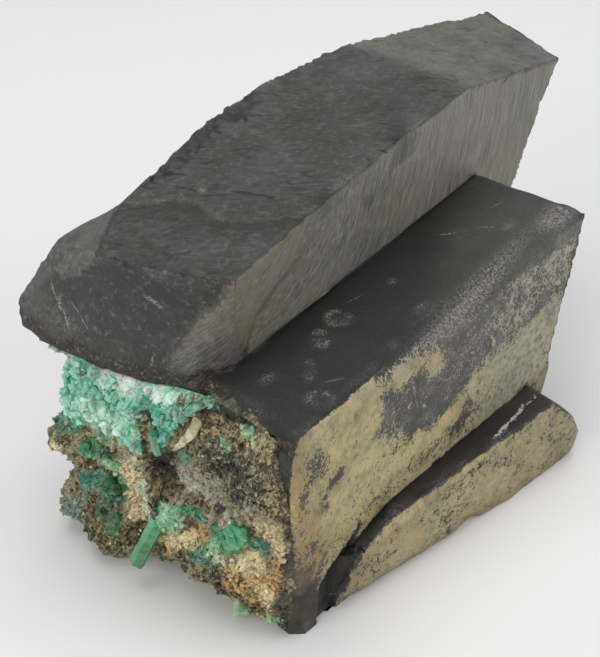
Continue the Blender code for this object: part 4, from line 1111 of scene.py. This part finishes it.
pyrite = new_material("pyrite, natural cubes")
in_mm = in_millimetres(pyrite)
tarnish = add(pyrite, "TexNoise", {"Vector": in_mm, "Scale": 1 / 2.4, "Detail": 3.0, "Roughness": 0.6})
brass = add(pyrite, "ValToRGB", {"Fac": tarnish}, stops=[(0.4, "#75643f"), (0.62, "#b3935c")])
etched = add(pyrite, "TexNoise", {"Vector": in_mm, "Scale": 1 / 0.7, "Detail": 2.0})
etched = add(pyrite, "MapRange", {"Value": etched, "From Min": 0.3, "From Max": 0.7, "To Min": 0.22,
                                  "To Max": 0.5})
add(pyrite, "OutputMaterial", {"Surface": add(pyrite, "BsdfPrincipled", {
    "Base Color": brass, "Metallic": 1.0, "Roughness": etched})})

PYRITE_CUBES, GOLD_CUBES = 260, 40
CUBE_SIDES, CUBE_LENGTH, CUBE_ROUGHNESS = 4, 1.45, 0.03
pyritic = open_face[np.isin(kind_names[open_face], ("brown pyrite", "gold pyrite"))]
golden = open_face[kind_names[open_face] == "gold pyrite"]
chosen = np.concatenate([rng.choice(pyritic, PYRITE_CUBES), rng.choice(golden, GOLD_CUBES)])
size = rng.uniform(0.2, 0.5, len(chosen))
lean = rng.normal(0, 1, (len(chosen), 3))
cube_verts, cube_faces = crystals(crust_verts[chosen], lean, size, size * CUBE_LENGTH, CUBE_SIDES,
                                  CUBE_ROUGHNESS, rng)
cubes = put_mesh("pyrite_cubes", cube_verts, cube_faces, pyrite, smooth=False)
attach(cubes, "root")

# Emerald druse
# Turquoise-green beryl grew as one mass of short six-sided crystals below the slab, milky and full of
# fine cracks, with white veins and a pocket of pyrite in it.

# The outline of the druse, its lobes, the minerals that only it has, and where each one lies

DRUSE_FOOT = [(-9, 60.6), (-4, 59.2), (-0.6, 56), (2.8, 50.3), (4.8, 44.7), (7.5, 42.9), (9, 46),
              (10.1, 49), (12.5, 45), (14.3, 38.9), (16.9, 39.8), (21.7, 43), (28.2, 41), (34.4, 39.4),
              (39.4, 39.6), (46, 43)]
DRUSE_LEFT = [(0, 40), (40, 39.5), (45, 37.4), (52, 36), (55, 38), (58, 44), (62, 51)]
DRUSE_RIGHT = [(0, -6.4), (60, -6.4)]
DRUSE_TOP = [(-9, 61.8), (-2, 61.2), (6, 59.6), (46, 59.4)]
DRUSE_FACE_X, DRUSE_ROOT_X = -85.6, -78.5
DRUSE_LOBES = {
    "left shoulder": ((30, 46), (8, 7), 2.4),
    "middle": ((16, 49), (9, 8), 1.8),
    "right arm": ((2, 53), (7, 5), 0.5),
    "fold": ((23, 52), (3, 8), -1.2),
    "pyrite pocket": ((9.8, 50), (2.2, 2.6), -1.4),
    "dark slot": ((29.8, 55.2), (2.0, 0.8), -1.6),
    "top set back": ((16, 60), (40, 2.2), -1.2),
    "slope up to the middle block": ((-4, 63), (12, 5.5), -5.6),
}
MINERALS |= {
    "turquoise beryl": ("#5fae92", "#a9dcc2", "#3f8a72", 0.16, 0.3, 0.0),
    "mint beryl": ("#a6d6b6", "#cfe9d2", "#74b496", 0.08, 0.3, 0.0),
    "deep teal beryl": ("#2b8a70", "#4ba78b", "#1b6653", 0.18, 0.25, 0.0),
    "white vein": ("#b9d0bd", "#dde9db", "#8cb8a0", 0.18, 0.5, 0.0),
    "green-grey beryl": ("#4a8068", "#78a88e", "#2a4a3c", 0.2, 0.35, 0.0),
}
DRUSE_PATCHES = {
    "turquoise beryl": [((31, 53), (7, 6)), ((34, 44), (5, 3.4)), ((22, 52.6), (4, 3.4)),
        ((14, 43), (3, 5)), ((6, 46), (2.2, 3.4))],
    "mint beryl": [((27.6, 47.6), (6.4, 3.2)), ((21, 46.5), (5, 2.2)), ((17, 49.6), (3, 2.4))],
    "deep teal beryl": [((9.6, 56.2), (4.4, 2.2), -10), ((3.4, 53), (2.6, 2.6)), ((36, 52), (1.6, 3))],
    "white vein": [((18, 59), (11, 1)), ((19.6, 56.6), (5.4, 1), -26), ((24.6, 56), (1.2, 3.8), 32),
        ((7, 58.4), (3.4, 0.8), -10), ((44, 58), (8, 2))],
    "brown pyrite": [((9.8, 51), (2.4, 2.8))],
    "gold pyrite": [((10.4, 47.6), (2, 1.8))],
    "green-grey beryl": [((0, 57.4), (3.6, 1.6)), ((25, 43), (3, 1.4)), ((-3, 60.4), (5, 2.2), -10),
        ((20.6, 44), (2, 1.6))],
    # Painted shade in the slots between the druse's crystals
    "hollow": [((31, 56.2), (1.8, 0.5), 8), ((33.6, 51.6), (0.5, 0.8)), ((27, 55), (0.8, 0.5), 20)],
}
DRUSE_COLUMNS, DRUSE_ROWS, DRUSE_TURN = 210, 110, 8
DRUSE_FACETS = ((2.4, 211, 0.9), (1.1, 231, 0.8))
DRUSE_EDGE_SINKS, DRUSE_EDGE_SHARPNESS = 1.6, 22
across, up, behind, rim = tray(DRUSE_COLUMNS, DRUSE_ROWS, DRUSE_RIGHT, DRUSE_LEFT, DRUSE_FOOT, DRUSE_TOP,
                               DRUSE_TURN)
flat_places = np.stack([across.ravel(), up.ravel(), across.ravel() * 0], axis=1)
(coarse, coarse_number, coarse_border), (medium, medium_number, _) = (
    facets(across, up, size, seed, steep) for size, seed, steep in DRUSE_FACETS)
lumps = fractal(flat_places, 6, 241, 4).reshape(across.shape)
standing = coarse * 0.75 + medium * 0.4 + lumps * 1.5 + patches(across, up, DRUSE_LOBES)
depth = DRUSE_FACE_X - standing + DRUSE_EDGE_SINKS * np.exp(-rim * DRUSE_EDGE_SHARPNESS)
druse_x = depth + behind * (DRUSE_ROOT_X - depth)
druse_verts = np.stack([druse_x, across, up], axis=-1).reshape(-1, 3)
druse_kinds, mixed = which_mineral(across + (coarse_number - 0.5) * 1.2, up + (medium_number - 0.5) * 1.2,
                                   DRUSE_PATCHES, "turquoise beryl", 251)
# Painted shade in the crevices between the druse's facets, with a random tone for each coarse facet
painted_crevice_shade_and_tone = (0.66 + 0.36 * step_up(coarse_border, 0.0, 0.16)) * (0.82 + 0.38 * coarse_number)
druse_look = mineral_look(druse_kinds, mixed, medium_number, painted_crevice_shade_and_tone, 0.6)

# Milky beryl: light goes a little way in and comes out softened, between white cracks and veins

beryl = new_material("beryl, milky and cracked")
in_mm = in_millimetres(beryl)
milk, specks, veils = (
    add(beryl, "TexNoise", {"Vector": in_mm, "Scale": 1 / size, "Detail": layers, "Roughness": 0.65})
    for size, layers in ((0.9, 4), (0.55, 3), (2.6, 4)))
mineral, grain, share, rough, metal, fade = mineral_marks(beryl)
shade = add(beryl, "MapRange", {"Value": milk, "From Min": 0.3, "From Max": 0.7, "To Min": 0.78,
                                "To Max": 1.42})
body = add(beryl, "VectorMath", {0: mineral, "Scale": shade}, operation="SCALE")
speck_level = add(beryl, "Math", {0: share, 1: 0.5, 2: specks}, operation="MULTIPLY_ADD")
body = layered(beryl, body, [(veils, 0.5, 0.66, 0.5, "#c3d8c6"), (speck_level, 0.66, 0.72, 0.8, grain)])
# The painted shade of the crevices, with each crystal's random tone, darkens the colour last
body = add(beryl, "VectorMath", {0: body, "Scale": fade}, operation="SCALE")
milk_bump = add(beryl, "Bump", {"Height": milk, "Strength": 0.4, "Distance": 0.0003})
add(beryl, "OutputMaterial", {"Surface": add(beryl, "BsdfPrincipled", {
    "Base Color": body, "Roughness": rough, "Metallic": metal, "Normal": milk_bump, "IOR": 1.57,
    "Subsurface Weight": 0.5, "Subsurface Radius": (0.4, 1.0, 0.8), "Subsurface Scale": 0.0018})})

druse = put_mesh("druse", druse_verts, grid_faces(DRUSE_ROWS, DRUSE_COLUMNS), beryl)
store_all(druse.data, druse_look)
druse.data.set_sharp_from_angle(angle=math.radians(40))
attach(druse, "root")
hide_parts("emerald_druse")

# Small crystals of the same beryl that stand out of the druse, fused to it

rng = np.random.default_rng(23)
druse_out = outward(druse_x, across, up).reshape(-1, 3)
DRUSE_CRYSTALS, PRISM_SIDES, PRISM_ROUGHNESS = 300, 6, 0.2
open_face = np.flatnonzero((behind.ravel() < 0.2) & (up.ravel() < 58.6) & (across.ravel() < 40))
chosen = rng.choice(open_face, DRUSE_CRYSTALS, replace=False)
size = 0.35 + 1.1 * rng.uniform(0, 1, DRUSE_CRYSTALS) ** 2.4
lean = druse_out[chosen] + rng.normal(0, 0.9, (DRUSE_CRYSTALS, 3))
prism_length = size * rng.uniform(1.4, 2.8, DRUSE_CRYSTALS)
small_verts, small_faces = crystals(druse_verts[chosen] + (0.2, 0, 0), lean, size, prism_length,
                                    PRISM_SIDES, PRISM_ROUGHNESS, rng)
small_beryls = put_mesh("druse_crystals", small_verts, small_faces, beryl, smooth=False)
small_look = mineral_look(druse_kinds.ravel()[chosen], mixed.reshape(-1, 3)[chosen],
                          rng.uniform(0, 1, DRUSE_CRYSTALS), rng.uniform(0.88, 1.15, DRUSE_CRYSTALS), 0.45)
store_all(small_beryls.data, small_look, PRISM_SIDES * 2)
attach(small_beryls, "root")

# Single emeralds
# Six-sided prisms of clear green beryl, a few millimetres wide, grew out of the crust. Their sides carry
# fine growth lines, and inside they are clouded by the veils that every emerald has.

# Each emerald: how it is set off from its solid, size across and along, wear, colour at root and tip

EMERALDS = {
    "emerald_prism_large": ((0, 0, 0), 1.0, 1.0, 0.16, "#2c9c60", "#12843e"),
    "emerald_prism_upper": ((-0.6, 0, 3.6), 1.05, 0.85, 0.12, "#5fae8c", "#3f9670"),
    "emerald_block": ((0.6, 0.6, 0.6), 0.96, 0.9, 0.75, "#9ccfa6", "#2a9a60"),
    "emerald_sliver": ((0, 0, 0.4), 0.85, 1.0, 0.25, "#4a8a68", "#35705a"),
    "emerald_left_high": ((1.6, -1.0, 0.4), 1.0, 0.9, 1.0, "#4f9a66", "#3c9a60"),
    "emerald_left_middle": ((1.9, -1.6, -0.4), 0.95, 0.9, 1.1, "#2f7d55", "#23714b"),
    "emerald_left_low": ((1.9, -3.0, 1.0), 1.0, 0.9, 1.1, "#2f7a4c", "#256b40"),
    "emerald_left_foot": ((2.9, 1.6, 0.6), 0.95, 0.8, 1.0, "#35704a", "#2a6340"),
    "emerald_foot_near": ((0.4, 0, -0.6), 0.9, 0.9, 0.4, "#b6cb9e", "#a8c896"),
    "emerald_foot_far": ((0.4, 0, 0), 0.9, 0.9, 0.4, "#aac598", "#94bd8a"),
}

# How many places a prism's skin has along it and around it, and the share of them along its sides

EMERALD_RISE, EMERALD_TURN = 60, 84
BODY_SHARE = 0.78


def crystal_frame(node):
    """Middle, axis from root to tip, direction of a side corner, length and radius of a CAD crystal. The
    axis is the way its corners spread most, turned to point away from the stone."""
    corners = read(merged_copy(node), "co", 3) / MM
    middle = corners.mean(axis=0)
    axis = np.linalg.svd(corners - middle)[2][0]
    axis = axis * (-1 if axis[0] > 0 else 1)
    heights = (corners - middle) @ axis
    sideways = corners - middle - heights[:, None] * axis
    widest = np.linalg.norm(sideways, axis=1).argmax()
    return middle, axis, unit(sideways[widest]), np.ptp(heights), np.linalg.norm(sideways[widest])


def prism_skin(node, shift, wide, long, wear, seed):
    """A six-sided prism's skin on a grid of rise and turn. Its reach is r cos(30) / cos(turn from the
    nearest face's middle), held at 0.97 r by the worn edges, with noise that runs along the prism for
    growth lines and noise in all ways for dents. Over the last share of the grid the reach falls to
    nothing across a slanted lid with a small bevel. Gives the places and how far each is to the tip."""
    middle, axis, corner, length, radius = crystal_frame(node)
    length, radius, other = length * long, radius * wide, np.cross(axis, corner)
    rise, turn = np.meshgrid(np.linspace(0, 1, EMERALD_RISE), np.linspace(0, math.tau, EMERALD_TURN),
                             indexing="ij")
    body, lid = np.clip(rise / BODY_SHARE, 0, 1), np.clip((rise - BODY_SHARE) / (1 - BODY_SHARE), 0, 1)
    from_face = turn % (math.tau / 6) - math.tau / 12
    outline = np.minimum(math.cos(math.tau / 12) / np.cos(from_face), 0.97) * (1 - lid)
    around = np.stack([np.cos(turn) * radius, np.sin(turn) * radius, body * length * 0.12], axis=-1)
    lines = noise(around.reshape(-1, 3), 0.7, seed).reshape(turn.shape) * 0.035
    along = np.stack([np.cos(turn) * radius, np.sin(turn) * radius, body * length], axis=-1)
    dents = fractal(along.reshape(-1, 3), 3.0, seed + 5, 3).reshape(turn.shape) * wear
    reach = radius * outline + (lines + dents) * (1 - lid)
    bevel = 0.22 * (1 - step_up(lid, 0.0, 0.16))
    height = (body - 0.5) * length - bevel + dents * 0.5 * lid
    height = height + reach * np.cos(turn - seed) * 0.22 * step_up(body, 0.5, 1)
    places = middle + np.array(shift) + height[..., None] * axis
    places = places + (reach * np.cos(turn))[..., None] * corner + (reach * np.sin(turn))[..., None] * other
    return places, body


# Emerald: green light goes deepest into it, and two millimetres take two thirds of the red away. Milky
# veils let about a fifth of the light through, and its faces have a soft shine.

emerald = new_material("emerald, clear green with veils")
in_mm = in_millimetres(emerald)
veils, cracks = (
    add(emerald, "TexNoise", {"Vector": in_mm, "Scale": 1 / size, "Detail": 5.0, "Roughness": 0.65})
    for size in (1.9, 0.7))
mineral = add(emerald, "Attribute", out="Vector", attribute_name="mineral")
shade = add(emerald, "MapRange", {"Value": veils, "From Min": 0.32, "From Max": 0.68, "To Min": 0.6,
                                  "To Max": 1.2})
body = add(emerald, "VectorMath", {0: mineral, "Scale": shade}, operation="SCALE")
body = layered(emerald, body, [(cracks, 0.56, 0.7, 0.16, "#74c391")])
polish = add(emerald, "MapRange", {"Value": cracks, "From Min": 0.3, "From Max": 0.7, "To Min": 0.2,
                                   "To Max": 0.42})
etch = add(emerald, "Bump", {"Height": cracks, "Strength": 0.25, "Distance": 0.0002})
clear_shader = add(emerald, "BsdfPrincipled", {
    "Base Color": body, "Roughness": polish, "Normal": etch, "IOR": 1.58, "Transmission Weight": 0.18,
    "Specular IOR Level": 0.2})
dye = add(emerald, "VolumeAbsorption", {"Color": "#129a52", "Density": 520.0})
add(emerald, "OutputMaterial", {"Surface": clear_shader, "Volume": dye})

for number, (node, (shift, wide, long, wear, root_code, tip_code)) in enumerate(EMERALDS.items()):
    places, body_share = prism_skin(node, shift, wide, long, wear, 301 + number * 9)
    piece = put_mesh(node.replace("emerald", "beryl"), places.reshape(-1, 3),
                     grid_faces(EMERALD_RISE, EMERALD_TURN), emerald)
    blend = step_up(body_share, 0.35, 0.75).reshape(-1, 1)
    store(piece.data, "mineral", np.array(colour(root_code)[:3]) * (1 - blend)
          + np.array(colour(tip_code)[:3]) * blend)
    piece.data.set_sharp_from_angle(angle=math.radians(28))
    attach(piece, "root")
    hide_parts(node)

# Calcite blade
# A cream blade of calcite, curved and about as thick as a coin, stands over the cavity between the druse
# and the dark rock.

# The blade's middle line, half its width at each share of its length, and half its thickness

BLADE_PATH = [(-84.8, 2.2, 45.5), (-85.8, -1.4, 50.2), (-84.8, -3.7, 53.9), (-83.0, -4.8, 58.0)]
BLADE_HALF_WIDTH = [(0, 0.35), (0.2, 0.7), (0.5, 1.15), (0.8, 1.6), (1, 1.9)]
BLADE_HALF_THICKNESS = 0.42
BLADE_ALONG, BLADE_AROUND = 70, 40


def blade_skin(path, half_widths, half_thickness):
    """A blade's skin on a grid of along and around. Its middle line is a cubic curve through four points,
    and around it each place lies on an ellipse whose corners are squared by a power of 0.6."""
    along, around = np.meshgrid(np.linspace(0, 1, BLADE_ALONG), np.linspace(0, math.tau, BLADE_AROUND),
                                indexing="ij")
    powers = np.vander(np.array([0, 1 / 3, 2 / 3, 1]), 4)
    terms = np.linalg.solve(powers, np.array(path))
    centre = np.vander(along.ravel(), 4) @ terms
    ahead = unit(np.vander(np.minimum(along.ravel() + 0.01, 1.01), 4) @ terms - centre)
    flat = unit(np.cross(ahead, np.array((0.8, -0.2, 0.55))))
    out = np.cross(flat, ahead)
    squared = [np.sign(part) * np.abs(part) ** 0.6 for part in (np.cos(around), np.sin(around))]
    dented_from = centre + np.stack([np.cos(around.ravel())] * 3, axis=1) * 2
    dents = fractal(dented_from, 3.0, 401, 3).reshape(along.shape)
    closing = np.sqrt(np.clip(1 - (2 * along - 1) ** 16, 0, 1))
    half = (along_line(half_widths, along) * closing * (1 + dents * 0.28)).ravel()[:, None]
    thick = (half_thickness * closing * (1 + dents * 0.25)).ravel()[:, None]
    return centre + flat * half * squared[0].reshape(-1, 1) + out * thick * squared[1].reshape(-1, 1)


# Cream calcite: waxy and faintly see-through at the edges, with darker stains, and darker towards its top
# end, where it meets the rock

calcite = new_material("calcite, cream and waxy")
in_mm = in_millimetres(calcite)
stains = add(calcite, "TexNoise", {"Vector": in_mm, "Scale": 1 / 1.8, "Detail": 5.0, "Roughness": 0.7})
body = add(calcite, "ValToRGB", {"Fac": stains},
           stops=[(0.34, "#6e6748"), (0.44, "#a8a07c"), (0.56, "#cbc6a6"), (0.7, "#d6d4bc")])
height_up = add(calcite, "SeparateXYZ", {"Vector": in_mm}, out="Z")
body = layered(calcite, body, [(height_up, 53.5, 58.5, 0.85, "#857a52")])
waxy_bump = add(calcite, "Bump", {"Height": stains, "Strength": 0.4, "Distance": 0.0003})
add(calcite, "OutputMaterial", {"Surface": add(calcite, "BsdfPrincipled", {
    "Base Color": body, "Roughness": 0.42, "Normal": waxy_bump, "IOR": 1.57, "Subsurface Weight": 0.3,
    "Subsurface Radius": (1.0, 0.9, 0.7), "Subsurface Scale": 0.001})})
blade = put_mesh("blade", blade_skin(BLADE_PATH, BLADE_HALF_WIDTH, BLADE_HALF_THICKNESS),
                 grid_faces(BLADE_ALONG, BLADE_AROUND), calcite)
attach(blade, "root")
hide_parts("calcite_blade")
